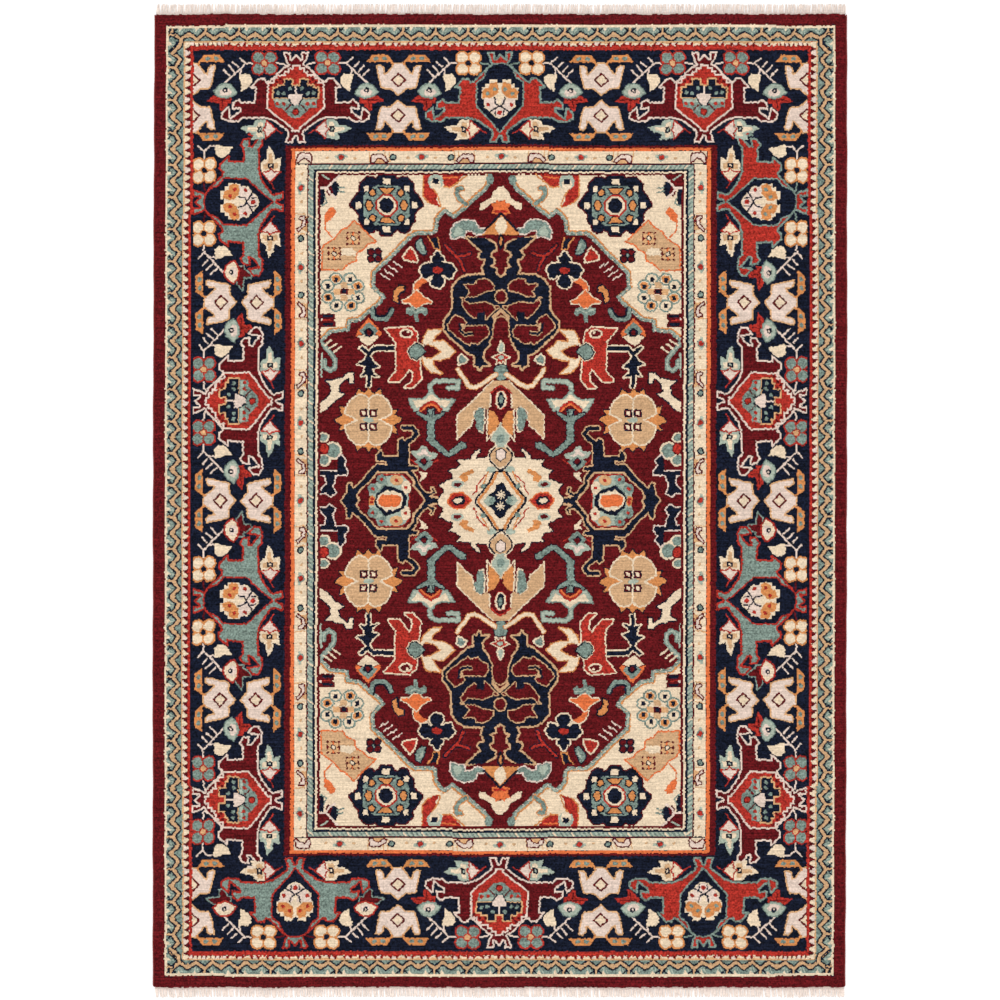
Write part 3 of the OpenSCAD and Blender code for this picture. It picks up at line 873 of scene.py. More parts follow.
PETAL = [(0, 24), (4, 28), (9, 29.5), (15, 28), (22, 22), (26, 14), (27, 7), (21, 4), (13, 0), (0, 0)]
SPIKES = [(-16, 26), (-13, 36), (-7, 31), (-3, 32), (0, 37), (4, 32), (8, 32), (12, 36), (16, 26), (6, 24),
          (0, 17), (-6, 24)]
SIDE_SPIKES = [(25, 13), (33, 16), (31, 8), (29, 6), (38, 1), (38, -2), (30, -6), (34, -12), (25, -11),
               (22, -5), (12, 0), (22, 5)]
RUST_FIGURE = [(133, 199), (118, 200), (104, 201), (97, 195), (96, 181), (94, 165), (93, 151), (92, 141),
               (101, 131), (110, 131), (102, 138), (101, 148), (105, 153), (111, 145), (117, 138),
               (129, 138), (128, 141), (120, 150), (121, 184), (125, 189)]
CLAW = [(90, 182), (88, 190), (84, 197), (68, 198), (76, 190), (79, 184), (66, 185), (60, 179), (53, 173),
        (60, 166), (70, 163), (79, 163), (78, 156), (68, 147), (80, 149), (88, 157), (91, 166)]
FIR = [(154, 132), (154, 146), (161, 144), (157, 150), (156, 156), (165, 158), (158, 162), (154, 169),
       (163, 177), (160, 179), (152, 173), (147, 179), (122, 179), (122, 174), (146, 174), (151, 168),
       (147, 161), (140, 155), (148, 153), (147, 148), (141, 143), (150, 145), (150, 132)]
LILY_HOOK = [(60, 130.5), (49, 130.5), (49, 138.5), (75, 138.5), (81, 134), (81, 126)]
LILY_PETALS = [(80, 127), (86, 121), (91, 117), (106, 118), (104, 112), (99, 104), (91, 104), (88, 110),
               (80, 113), (72, 110), (69, 104), (61, 104), (57, 111), (53, 117), (70, 117), (75, 121)]
LILY_TRUNK = [(84, 106), (76, 106), (77, 98), (64, 103), (66, 99), (76, 92), (76, 71), (66, 61), (60, 56),
              (46, 68), (40, 67), (40, 62), (48, 58), (56, 52), (60, 51), (64, 52), (75, 61), (85, 70),
              (84, 74), (84, 92), (97, 101), (96, 103), (84, 98)]


def middle_flowers(p):
    """Flowers and stems between the medallion and the corner."""
    # star over the camel blossom
    p.fill(I, [(165, 190), (160, 184), (154, 179), (146, 184), (140, 190), (152, 194)])
    p.fill(O, [(167, 190), (165, 197), (160, 203), (152, 212), (145, 204), (137, 194), (139, 190),
               (146, 194), (158, 194)])
    p.fill(T, [(163, 196), (158, 202), (152, 207), (146, 202), (141, 196), (146, 192), (158, 192)])
    p.fill(N, [(152, 201), (146, 196), (148, 190), (156, 190), (158, 196)])
    p.disc(C, 152, 195, 2.6, 3)
    p.line(I, 3.4, FIR, closed=True)
    p.fill(N, FIR)
    # rust figure, its eye and the claw
    p.line(I, 3.4, RUST_FIGURE, closed=True)
    p.fill(R, RUST_FIGURE)
    p.disc(I, 109, 193.5, 8, 5.6)
    p.disc(C, 109, 193.5, 5.6, 3.6)
    p.disc(I, 107, 195, 1.5)
    p.line(G, 3, CLAW, closed=True)
    p.fill(I, CLAW)
    p.fill(C, [(89, 181), (80, 179), (69, 173), (78, 166), (89, 166)])
    p.line(G, 1.4, [(86, 181), (79, 179), (69, 173), (78, 166), (86, 165)])
    blob = [(98, 182), (104, 177), (106, 172), (103, 166), (97, 164), (92, 168), (87, 173), (92, 179)]
    p.line(I, 4.6, blob[:6] + blob[7:], closed=True)
    p.line(N, 2.6, blob, closed=True)
    p.fill(T, blob)
    # camel blossom
    cx, cy = 152, 93.5
    for s in (-1, 1):
        p.line(N, 2.4, turned(SPIKES, cx, cy, s, s), closed=True)
        p.line(N, 2.4, turned(SIDE_SPIKES, cx, cy, s, s), closed=True)
    for s in (-1, 1):
        p.fill(G, turned(SPIKES, cx, cy, s, s))
        p.fill(G, turned(SIDE_SPIKES, cx, cy, s, s))
    for sx in (-1, 1):
        for sy in (-1, 1):
            petal = turned(PETAL, cx, cy, sx, sy)
            p.fill(K, petal)
            p.line(I, 2, petal[:-1])
    p.line(I, 1.9, [(cx, cy - 24), (cx, cy + 24)])
    for sx in (-1, 1):
        for sy in (-1, 1):
            x, y = cx + sx * 5.5, cy + sy * 8
            p.box(C, x - 4.2, y - 4.2, x + 4.2, y + 4.2)
            p.line(N, 1.2, [(x - 4, y - 4), (x - 4, y + 4), (x + 4, y + 4), (x + 4, y - 4)], closed=True)
            p.box(I, x - 2, y - 2.2, x + 2, y + 2.2)
    p.disc(S, cx, cy, 6, 3)
    # teal lily
    p.line(T, 6, LILY_HOOK)
    p.line(S, 4, LILY_HOOK)
    p.line(T, 2.4, LILY_PETALS, closed=True)
    p.fill(S, LILY_PETALS)
    p.fill(I, [(80, 124), (88, 117), (102, 116), (96, 107), (88, 112), (80, 115), (72, 112), (63, 107),
               (58, 116), (72, 117)])
    p.line(R, 4.6, [(92, 105), (86, 111), (80, 114), (74, 111), (69, 105)])
    p.line(O, 2.2, [(91, 104), (86, 109), (80, 112), (74, 109), (70, 104)])
    p.line(N, 2, LILY_TRUNK, closed=True)
    p.fill(T, LILY_TRUNK)
    p.line(N, 1.2, [(77, 105), (79, 98)])
    p.line(N, 1.2, [(84, 105), (82, 98)])


def edge_figures(p):
    """Figures along the side of the field."""
    figure = [(210, 100), (210, 111), (200, 119), (196, 123), (195, 133), (202, 139), (194, 139),
              (190, 141), (182, 142), (176, 148), (170, 148), (170, 136), (174, 136), (175, 142),
              (178, 141), (185, 135), (187, 126), (180, 123), (186, 119), (190, 117), (200, 106)]
    p.line(N, 3, figure)
    p.fill(I, figure)
    for yarn, width in ((T, 5.6), (S, 2.2)):
        p.line(yarn, width, [(210, 186), (198, 173), (191, 164), (191, 154), (197, 150.5), (203, 155),
                             (203, 162)])
    p.line(S, 2.6, [(206, 170), (207, 144)])
    for x, y in ((203, 180), (198, 176), (192.5, 172)):
        p.line(I, 2.2, [(x, y), (x - 8, y + 6)])
    for x, y, rx, ry in ((204, 73, 7, 6), (193, 58, 10.5, 10.5), (203, 47, 8, 7.5)):
        p.disc(I, x, y, rx, ry)
    for x, y, rx, ry in ((204, 73, 5, 4.2), (193, 58, 8, 8), (203, 47, 5.6, 5.4)):
        p.disc(T, x, y, rx, ry)
    p.disc(C, 203, 60, 6, 7)
    p.disc(R, 203, 60, 4.6, 5.6)
    navy_figure = [(187, 50), (184, 53), (178, 46), (181, 41), (176, 34), (177, 30), (190, 30), (192, 22),
                   (194, 17), (190, 9), (196, 5), (201, 9), (210, 8), (205, 14), (200, 20), (202, 29),
                   (210, 30), (210, 34), (188, 34)]
    p.line(B, 3.2, navy_figure)
    p.fill(N, navy_figure)


TRUNK = [(106, 68), (106, 40), (96, 39), (96, 36), (103, 35), (97, 27), (96, 20), (88, 10), (84, 8),
         (78, 10), (80, 15), (78, 15), (76, 9), (84, 5), (72, 3), (72, 0), (86, 0), (92, 8), (100, 17),
         (100, 24), (108, 33), (142, 33), (150, 24), (163, 12), (166, 5), (163, 0), (183, 0), (177, 8),
         (176, 20), (173, 20), (170, 13), (158, 24), (147, 38), (142, 42), (131, 41), (131, 46), (142, 46),
         (143, 52), (138, 58), (136, 51), (118, 51), (117, 70), (113, 72), (111, 69)]
HOOK = [(110, 66), (101, 72), (96.5, 78), (101, 84), (112, 84)]


def palm_ring(p):
    """Navy ring beside the medallion, with the flower inside it and a small one above."""
    for yarn, extra in ((K, 3), (N, 0)):
        p.line(yarn, 4.4 + extra, HOOK)
        if extra:
            p.line(yarn, extra + 0.4, TRUNK)
        else:
            p.fill(yarn, TRUNK)
    p.line(K, 1.4, [(163, 0), (166, 5), (162, 12), (150, 23), (142, 33), (108, 33), (100, 24), (100, 17),
                    (92, 8), (87, 0)])
    p.line(K, 1.4, [(80, 4), (72, 3)])
    # flower in the ring
    p.line(R, 1.2, [(140, 30), (113, 30), (105, 22), (105, 0)])
    p.fill(S, [(140, 29), (113, 29), (106, 22), (106, 0), (150, 0), (152, 14), (146, 20), (141, 22)])
    for x, y, yarn, rx, ry in ((137, 24.5, T, 6, 5.5), (147, 14, T, 6, 6), (120, 23.5, P, 7.5, 6),
                               (109, 15, I, 5.5, 8),
                               (148, 2, G, 3.4, 4)):
        p.disc(yarn, x, y, rx, ry)
        p.disc(R, x, y, 2.2, 2)
    p.fill(N, [(145, -1), (143, 8), (133, 18), (122, 15), (113, 11), (108, 5), (108, -1)])
    p.line(T, 2, [(141, 10), (132, 20)])
    p.fill(I, [(143, -1), (141, 6), (136, 9), (131, 13), (128, 10), (124, 12), (119, 9), (114, 8),
               (112, -1)])
    p.fill(O, [(141, -1), (140, 4), (136, 7), (119, 7), (115, 4), (114, -1)])
    # small white flower
    p.line(R, 1.4, [(104, 48), (97, 42)])
    p.line(R, 1.4, [(72, 47), (80, 42)])
    p.fill(T, [(88, 54), (99, 45), (92, 38), (87, 35), (82, 39), (77, 45)])
    p.fill(S, [(91, 64), (86, 63), (83, 57), (72, 54), (75, 49), (82, 48), (86, 52), (91, 48), (97, 49),
               (101, 52), (104, 57), (95, 58)])
    p.fill(B, [(90, 60), (86, 60), (84, 54), (78, 52), (84, 51), (88, 54), (93, 51), (98, 54), (92, 56)])
    p.fill(N, [(88, 51), (94, 45), (88, 40), (83, 45)])
    p.disc(C, 88, 46, 3)
    p.fill(I, [(94, 33), (84, 33), (85, 28), (94, 21), (91, 29)])


def wing(p):
    """Camel wing above the medallion, and the small ring between the two wings."""
    outline = [(50, 71), (50, 99), (9, 139), (0, 139), (0, 134), (6, 131), (12, 124), (13, 108), (16, 105),
               (18, 107), (22, 109), (31, 103), (30, 96), (33, 91), (33, 87), (40, 82)]
    p.fill(K, outline)
    p.line(I, 1.6, [(22, 109), (31, 103), (30, 97), (33, 91), (33, 87), (40, 82), (50, 71), (50, 99),
                    (9, 139)])
    p.line(I, 1.6, [(6, 131), (12, 124), (13, 108)])
    p.fill(T, [(31, 97), (28, 105), (24, 108), (19, 107), (18, 102), (18, 86), (20, 78), (25, 80),
               (28, 86), (28, 92)])
    p.line(I, 1.5, [(18.5, 107), (18.5, 90), (20, 79), (25, 81)])
    p.line(I, 1.7, [(15, 105), (15.5, 90), (16, 69), (11, 76), (4, 84)])
    p.fill(G, [(14, 105), (8, 103), (3, 96), (1.5, 89), (5, 83), (13, 75), (14.5, 78)])
    ring = [(0, 133), (6, 130), (12, 124), (12, 109), (6, 103), (0, 100)]
    p.fill(C, whole(ring))
    p.line(R, 2.2, ring[:3])
    p.line(I, 1.4, ring[2:4])
    heart = [(0, 127), (4, 126), (6.5, 120), (6, 111), (2, 106), (0, 106)]
    p.line(R, 1.8, heart)
    p.fill(I, whole(heart))
    p.fill(N, whole([(0, 126), (2, 124), (4.5, 117), (3, 110), (0, 107)]))
    p.disc(T, 0, 117, 2.4, 5)
    vine = [(6, 146), (14, 141), (22, 135), (30, 131.5), (37, 133), (41, 140), (46, 146), (49.5, 152),
            (49.5, 158)]
    p.line(G, 6, vine[:-1])
    p.line(I, 4, vine[:-1])
    leaf = [(50, 166), (46, 170), (41, 167), (38, 163), (43, 159), (49, 157)]
    p.figure(T, I, 1.9, leaf)


MEDALLION = [(0, 60), (6, 62), (10, 57), (16, 50), (29, 49), (28, 53), (24, 57), (24, 60), (28, 58),
             (34, 52), (34, 48), (50, 47), (46, 42), (51, 37), (60, 35), (55, 31), (55, 25), (62, 23),
             (66, 20), (71, 19), (66, 13), (66, 9), (71, 4), (72, 0)]


def medallion(p):
    """The medallion in the middle of the field."""
    p.line(N, 2.4, MEDALLION[3:])
    p.fill(I, MEDALLION + [(0, -1)])
    crown = whole([(0, 90), (1, 86), (5, 81), (10, 75), (10, 70), (6, 67), (6, 63), (0, 60)])
    p.line(I, 2, crown)
    p.fill(S, crown)
    p.disc(T, 0, 72, 4.5, 5)
    p.line(I, 2, [(5, 64), (12, 58), (15, 50)])
    # loop, diamond and flower on the middle line
    p.fill(K, whole([(0, 62), (8, 60), (12, 54), (11, 47), (4, 40), (0, 38)]))
    p.line(N, 1.8, [(7, 61), (13, 54), (12, 46), (4, 37), (0, 35)])
    p.line(N, 2.2, whole([(0, 60), (5, 57), (5, 50), (0, 46)]), closed=True)
    p.fill(B, whole([(0, 60), (5, 57), (5, 50), (0, 46)]))
    p.line(N, 2.4, [(0, 34), (7, 33), (13, 22), (22, 10), (28.5, 3), (28.5, -1)])
    p.line(G, 3, [(4, 32), (10, 21), (19, 9), (25, 2), (25, -1)])
    p.fill(S, [(6, 0), (20, 0), (14, 7), (9, 6)])
    p.fill(T, [(6, 0), (14, 0), (11, 4), (8, 5)])
    p.fill(N, whole([(0, 21), (5, 18), (7, 12), (14, 6), (8, 4), (5, -1), (0, -1)]))
    for k in range(8):
        a = math.tau * k / 8
        p.line(I, 1.4, [(0, 6.5), (4.6 * math.cos(a), 6.5 + 4.8 * math.sin(a))])
    p.disc(S, 11, 36, 5.6, 3.6)
    p.line(R, 1.5, [(32, 8), (28, 12), (27, 19), (21, 26), (17, 30)])
    p.line(G, 1.5, [(24, 15), (18, 24), (14, 34)])
    p.disc(T, 20, 17, 3, 3)
    p.fill(G, [(48, 27), (42, 33), (32, 37), (30, 33), (38, 29), (37, 23), (43, 22)])
    p.disc(S, 50, 19, 7.5, 4.4)
    p.disc(C, 50, 18.6, 4.6, 2.4)
    p.fill(O, [(62, -1), (61, 3), (55, 10), (43, 10), (36, 4), (32, -1)])
    p.fill(R, [(60, -1), (59, 3), (54, 8.5), (44, 8.5), (38, 4), (34, -1)])
    p.fill(N, [(57, -1), (53, 5), (43, 5), (40, -1)])
    p.disc(I, 49, 0, 5, 3)


def weave():
    """The yarn of every knot, as rows from the foot of the rug to its top."""
    p = PointPaper()
    field(p)
    main_border(p)
    bands(p)
    return p.knots


# ------------------------------------------------------------------ sizes and colours
class RugSizes(bpy.types.PropertyGroup):
    """Sizes of the yarns and the way they are worked."""
    knot: FloatProperty(name="Knot pitch", description="Distance between tufts, across and along",
                        default=0.002,
                        min=0.001, max=0.004, unit="LENGTH")
    tuft_gap: FloatProperty(name="Gap between tufts",
                            description="Gap that opens between tufts at the top of the pile",
                            default=0.00016, min=0.0, max=0.001, unit="LENGTH")
    shear: FloatProperty(name="Shearing unevenness",
                         description="How much the cut height of the pile varies",
                         default=0.00022, min=0.0, max=0.001, unit="LENGTH")
    weft_pitch: FloatProperty(name="Weft pitch", description="Distance between the wefts on the back",
                              default=0.004,
                              min=0.002, max=0.01, unit="LENGTH")
    wrap_pitch: FloatProperty(name="Overcast pitch",
                              description="Distance between turns of the overcasting yarn",
                              default=0.0036, min=0.002, max=0.008, unit="LENGTH")
    strand_pitch: FloatProperty(name="Fringe pitch",
                                description="Distance between the twisted strands of the fringe",
                                default=0.0034, min=0.002, max=0.01, unit="LENGTH")
    strand_sides: IntProperty(name="Fringe strand sides", description="Sides round one strand", default=6,
                              min=4, max=10)


def colour(name, value):
    """Colour property of one yarn."""
    return FloatVectorProperty(name=name, description=f"Colour of the {name.lower()}", default=value,
                               subtype="COLOR",
                               min=0.0, max=1.0, size=3)


def srgb(code):
    """Linear colour from a web colour code."""
    parts = [int(code[i:i + 2], 16) / 255 for i in (0, 2, 4)]
    return tuple(v / 12.92 if v <= 0.04045 else ((v + 0.055) / 1.055) ** 2.4 for v in parts)


class RugColours(bpy.types.PropertyGroup):
    """Colours of the yarns."""
    crimson: colour("Crimson yarn", srgb("571115"))
    navy: colour("Navy yarn", srgb("111625"))
    ivory: colour("Ivory yarn", srgb("d8c3a7"))
    teal: colour("Teal yarn", srgb("728279"))
    camel: colour("Camel yarn", srgb("bf9973"))
    gold: colour("Gold yarn", srgb("c4804b"))
    rust: colour("Rust yarn", srgb("9e2c23"))
    blush: colour("Blush yarn", srgb("d3beb0"))
    peach: colour("Peach yarn", srgb("c99b6f"))
    orange: colour("Orange yarn", srgb("cf693b"))
    sage: colour("Sage yarn", srgb("9ca697"))
    # the overcast colour is partly the wool's own red and partly painted highlight: it is lifted above the
    # crimson to stand in for light caught by the rounded wraps
    overcast: colour("Overcast yarn", srgb("7e2d2c"))
    cotton: colour("Fringe cotton", srgb("eedfd5"))
    jute: colour("Ground cloth", srgb("b9a88c"))


# ------------------------------------------------------------------ yarn finishes
def streaky_yarn(name, rgb, streak, speckle, sheen=0.04):
    """Wool-like yarn: colour drifts along the rows, with a fleck between tufts and a fibre bump."""
    mat = bpy.data.materials.new(name)
    mat.use_nodes = True
    nodes, links = mat.node_tree.nodes, mat.node_tree.links
    shader = nodes["Principled BSDF"]
    shader.inputs["Base Color"].default_value = (*rgb, 1)
    shader.inputs["Roughness"].default_value = 0.95
    shader.inputs["Sheen Weight"].default_value = sheen
    shader.inputs["Sheen Roughness"].default_value = 0.5
    shader.inputs["Specular IOR Level"].default_value = 0.06
    place = nodes.new("ShaderNodeTexCoord")
    tints = []
    for scale, depth, amount in (((8.0, 290.0, 1.0), 3.0, streak), ((270.0, 270.0, 270.0), 2.0, speckle)):
        stretch = nodes.new("ShaderNodeMapping")
        stretch.inputs["Scale"].default_value = scale
        noise = nodes.new("ShaderNodeTexNoise")
        noise.inputs["Scale"].default_value = 1.0
        noise.inputs["Detail"].default_value = depth
        noise.inputs["Roughness"].default_value = 0.6
        spread = nodes.new("ShaderNodeMapRange")
        spread.inputs["From Min"].default_value = 0.3
        spread.inputs["From Max"].default_value = 0.7
        spread.inputs["To Min"].default_value = 1 - amount
        spread.inputs["To Max"].default_value = 1 + amount
        links.new(place.outputs["Object"], stretch.inputs["Vector"])
        links.new(stretch.outputs["Vector"], noise.inputs["Vector"])
        links.new(noise.outputs["Fac"], spread.inputs["Value"])
        tints.append(spread.outputs["Result"])
    both_tints = nodes.new("ShaderNodeMath")
    both_tints.operation = "MULTIPLY"
    links.new(tints[0], both_tints.inputs[0])
    links.new(tints[1], both_tints.inputs[1])
    dye = nodes.new("ShaderNodeVectorMath")
    dye.operation = "SCALE"
    dye.inputs[0].default_value = rgb
    links.new(both_tints.outputs["Value"], dye.inputs["Scale"])
    links.new(dye.outputs["Vector"], shader.inputs["Base Color"])
    fibre_place = nodes.new("ShaderNodeMapping")
    fibre_place.inputs["Scale"].default_value = (900.0, 900.0, 300.0)
    fibre = nodes.new("ShaderNodeTexNoise")
    fibre.inputs["Scale"].default_value = 1.0
    fibre.inputs["Detail"].default_value = 2.0
    bump = nodes.new("ShaderNodeBump")
    bump.inputs["Strength"].default_value = 0.6
    bump.inputs["Distance"].default_value = 0.0006
    links.new(place.outputs["Object"], fibre_place.inputs["Vector"])
    links.new(fibre_place.outputs["Vector"], fibre.inputs["Vector"])
    links.new(fibre.outputs["Fac"], bump.inputs["Height"])
    links.new(bump.outputs["Normal"], shader.inputs["Normal"])
    return mat


# ------------------------------------------------------------------ mesh helpers
def settle(x, y):
    """How the rug lies: a slight lean, sides that bow out a little, and small waves from the loom."""
    x = x + 0.0017 * y + 0.0022 * (x / 0.8) ** 9 * (1 - 0.8 * (y / 1.12) ** 2)
    dx = 0.0004 * np.sin(y * 19.0 + 1.3 * np.sin(y * 7.1)) + 0.0003 * np.sin(y * 61.0 + x * 3.0)
    dy = 0.0004 * np.sin(x * 17.0 + 1.1 * np.sin(x * 9.7)) + 0.0003 * np.sin(x * 53.0 + y * 5.0)
    return x + dx, y + dy


def mesh_piece(name, verts, faces, mat, replaced, smooth=False):
    """A finished piece from corners and four-sided faces, settled as the rug lies, on its one body."""
    mesh = bpy.data.meshes.new(name)
    verts = np.array(verts, np.float32).reshape(-1, 3)
    verts[:, 0], verts[:, 1] = settle(verts[:, 0], verts[:, 1])
    faces = np.asarray(faces, np.int32).reshape(-1, 4)
    mesh.vertices.add(len(verts))
    mesh.vertices.foreach_set("co", verts.ravel())
    mesh.loops.add(faces.size)
    mesh.loops.foreach_set("vertex_index", faces.ravel())
    mesh.polygons.add(len(faces))
    mesh.polygons.foreach_set("loop_start", np.arange(0, faces.size, 4, dtype=np.int32))
    mesh.polygons.foreach_set("use_smooth", np.full(len(faces), smooth))
    mesh.update(calc_edges=True)
    mesh.validate()
    piece = bpy.data.objects.new(name, mesh)
    bpy.context.scene.collection.objects.link(piece)
    mesh.materials.append(mat)
    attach(piece, BODY)
    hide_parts(replaced)
    return piece


def tube_faces(rings, sides, sign=1):
    """Faces of a closed tube whose rings of corners follow along y, or against y where sign is negative."""
    faces = []
    for k in range(rings - 1):
        for s in range(sides):
            a, b = k * sides + s, k * sides + (s + 1) % sides
            faces.append((a, a + sides, b + sides, b))
    last = (rings - 1) * sides
    for s in range(sides // 2 - 1):
        a, b, c, d = s, s + 1, sides - 2 - s, sides - 1 - s
        faces += [(a, b, c, d), (last + d, last + c, last + b, last + a)]
    return faces if sign > 0 else [face[::-1] for face in faces]


def lay_flat_uv(piece):
    """A plan of the whole rug, so that the finish of a pile piece is laid out as it lies."""
    mesh = piece.data
    layer = mesh.uv_layers.new(name="OFBake")
    corners = np.empty(len(mesh.loops), np.int32)
    mesh.loops.foreach_get("vertex_index", corners)
    places = np.empty(len(mesh.vertices) * 3, np.float32)
    mesh.vertices.foreach_get("co", places)
    places = places.reshape(-1, 3)[corners][:, :2]
    low, high = np.array(CAD_BOX[0][:2]), np.array(CAD_BOX[1][:2])
    layer.data.foreach_set("uv", ((places - low) / (high - low)).astype(np.float32).ravel())


BIG_PIECE = 16000          # blocks; a colour with more than that is cut into three pieces
INNER_HALF = (247, 411)    # half width and half length of the part inside the main border, in knots
ROOT_LIFT = 0.0002         # how far above the underside the tufts start, in metres
BOX_FACES = np.array([[0, 3, 2, 1], [4, 5, 6, 7], [0, 1, 5, 4], [1, 2, 6, 5], [2, 3, 7, 6], [3, 0, 4, 7]])


def tuft_blocks(knots, widest=24, tallest=8):
    """Blocks of equal tufts, as rows of (first column, last column, first row, last row, yarn)."""
    blocks = []
    growing = {}
    for i, row in enumerate(knots):
        cuts = np.flatnonzero(np.diff(row)) + 1
        step = 3 if i in (0, len(knots) - 1) else widest
        start = (i // tallest * 7) % step
        cuts = np.unique(np.concatenate([[0], cuts, np.arange(start or step, len(row), step), [len(row)]]))
        now = {}
        for a, b in zip(cuts[:-1].tolist(), cuts[1:].tolist()):
            key = (a, b, int(row[a]))
            first = growing.pop(key, None)
            if first is not None and i - first < tallest:
                now[key] = first
            else:
                if first is not None:
                    blocks.append((a, b, first, i, key[2]))
                now[key] = i
        blocks += [(a, b, first, i, yarn) for (a, b, yarn), first in growing.items()]
        growing = now
    blocks += [(a, b, first, len(knots), yarn) for (a, b, yarn), first in growing.items()]
    return np.array(blocks)


# ------------------------------------------------------------------ operators
class RUG_OT_weave_pile(bpy.types.Operator):
    """Weave the cut pile, one piece for each colour of yarn"""
    bl_idname = "rug.weave_pile"
    bl_label = "Weave Pile"

    def execute(self, context):
        sizes, colours = context.scene.rug_sizes, context.scene.rug_colours
        knots = weave()
        blocks = tuft_blocks(knots)
        rng = np.random.default_rng(PILE_SEED)
        lift = rng.normal(0, sizes.shear / 2, len(blocks)).clip(-sizes.shear, sizes.shear)
        half_w = CLOTH_HIGH[0] / sizes.knot
        x0 = np.clip(blocks[:, 0] - COLS / 2, -half_w, half_w)
        x1 = np.clip(blocks[:, 1] - COLS / 2, -half_w, half_w)
        keep = x1 - x0 > 0.2
        rows = ROWS / 2
        y0, y1 = blocks[:, 2] - rows, blocks[:, 3] - rows
        for edge, side in ((y0, -1), (y1, 1)):
            ragged = np.abs(edge - side * rows) < 0.5
            edge[ragged] += side * rng.uniform(-0.5, 1.0, ragged.sum())
        for number, yarn in enumerate(YARNS):
            mine = keep & (blocks[:, 4] == number)
            dye = tuple(getattr(colours, yarn))
            darkness = 1 / (1 + 8 * sum(dye))
            fleck = 0.15 + 1.05 * darkness + (0.25 if yarn in ("teal", "rust") else 0)
            mat = streaky_yarn(f"{yarn}_yarn", dye, 0.12 + 0.6 * darkness, fleck)
            parts = {"": mine}
            if mine.sum() > BIG_PIECE:
                ends = np.abs(blocks[:, 2] - rows) >= INNER_HALF[1]
                inner = (np.abs(x0 + x1) / 2 < INNER_HALF[0]) & ~ends
                parts = {"_field": mine & inner, "_sides": mine & ~inner & ~ends, "_ends": mine & ends}
            for part, chosen in parts.items():
                piece = self.cut(f"pile_{yarn}{part}", x0[chosen], x1[chosen], y0[chosen], y1[chosen],
                                 lift[chosen],
                                 sizes, mat, yarn)
                lay_flat_uv(piece)
        return {"FINISHED"}

    def cut(self, name, x0, x1, y0, y1, lift, sizes, mat, yarn):
        """One piece of pile, in blocks of tufts that narrow upwards, each cut at its own height."""
        gap, knot = sizes.tuft_gap / 2, sizes.knot
        corners = []
        for low in (True, False):
            inset = 0.0 if low else gap
            height = np.full(len(x0), CLOTH_LOW[2] + ROOT_LIFT) if low else PILE_TOP - sizes.shear + lift
            for cx, cy, sx, sy in ((x0, y0, 1, 1), (x1, y0, -1, 1), (x1, y1, -1, -1), (x0, y1, 1, -1)):
                corners.append(np.stack([cx * knot + sx * inset, cy * knot + sy * inset, height], 1))
        verts = np.stack(corners, 1).reshape(-1, 3)
        faces = (BOX_FACES[None] + 8 * np.arange(len(x0))[:, None, None]).reshape(-1, 4)
        return mesh_piece(name, verts, faces, mat, f"pile_{yarn}")


class RUG_OT_ground_cloth(bpy.types.Operator):
    """Weave the ground cloth, with its wefts showing as ribs on the back"""
    bl_idname = "rug.ground_cloth"
    bl_label = "Ground Cloth"

    def execute(self, context):
        sizes, colours = context.scene.rug_sizes, context.scene.rug_colours
        mat = streaky_yarn("ground_cotton", tuple(colours.jute), 0.08, 0.18)
        half_x, half_y = CLOTH_HIGH[0], CLOTH_HIGH[1]
        low, high = CLOTH_LOW[2], CLOTH_HIGH[2] - 0.0003
        ribs, across = round(2 * half_y / sizes.weft_pitch), 12
        pitch, depth = 2 * half_y / ribs, 0.0012
        xs = np.linspace(-half_x, half_x, across + 1)
        outline = []
        for rib in range(ribs):
            start = -half_y + rib * 2 * half_y / ribs
            outline += [(start, low + depth), (start + 0.3 * pitch, low), (start + 0.7 * pitch, low)]
        outline.append((half_y, low + depth))
        rng = np.random.default_rng(GROUND_SEED)
        verts, faces = [], []
        rows = len(outline)
        for y, z in outline:
            sway = 0.0003 * np.sin(xs * 21 + y * 40)
            verts += [(x, max(-half_y, min(half_y, y + s)), z + 0.00005 * r) for x, s, r in
                      zip(xs, sway, rng.uniform(0, 1, across + 1))]
        top = len(verts)
        for y, _ in outline:
            verts += [(x, y, high) for x in xs]
        n = across + 1
        for r in range(rows - 1):
            for c in range(across):
                a = r * n + c
                faces.append((a, a + n, a + n + 1, a + 1))
                faces.append((top + a, top + a + 1, top + a + n + 1, top + a + n))
            a, b = r * n, r * n + across
            faces.append((a, top + a, top + a + n, a + n))
            faces.append((b, b + n, top + b + n, top + b))
        last = (rows - 1) * n
        for c in range(across):
            faces.append((c, c + 1, top + c + 1, top + c))
            a = last + c
            faces.append((a, top + a, top + a + 1, a + 1))
        mesh_piece("ground_cloth", verts, faces, mat, "ground_weave")
        return {"FINISHED"}


def joined(groups):
    """Several (corners, faces) lists as one."""
    verts, faces = [], []
    for v, f in groups:
        base = len(verts)
        verts += v
        faces += [tuple(i + base for i in face) for face in f]
    return verts, faces


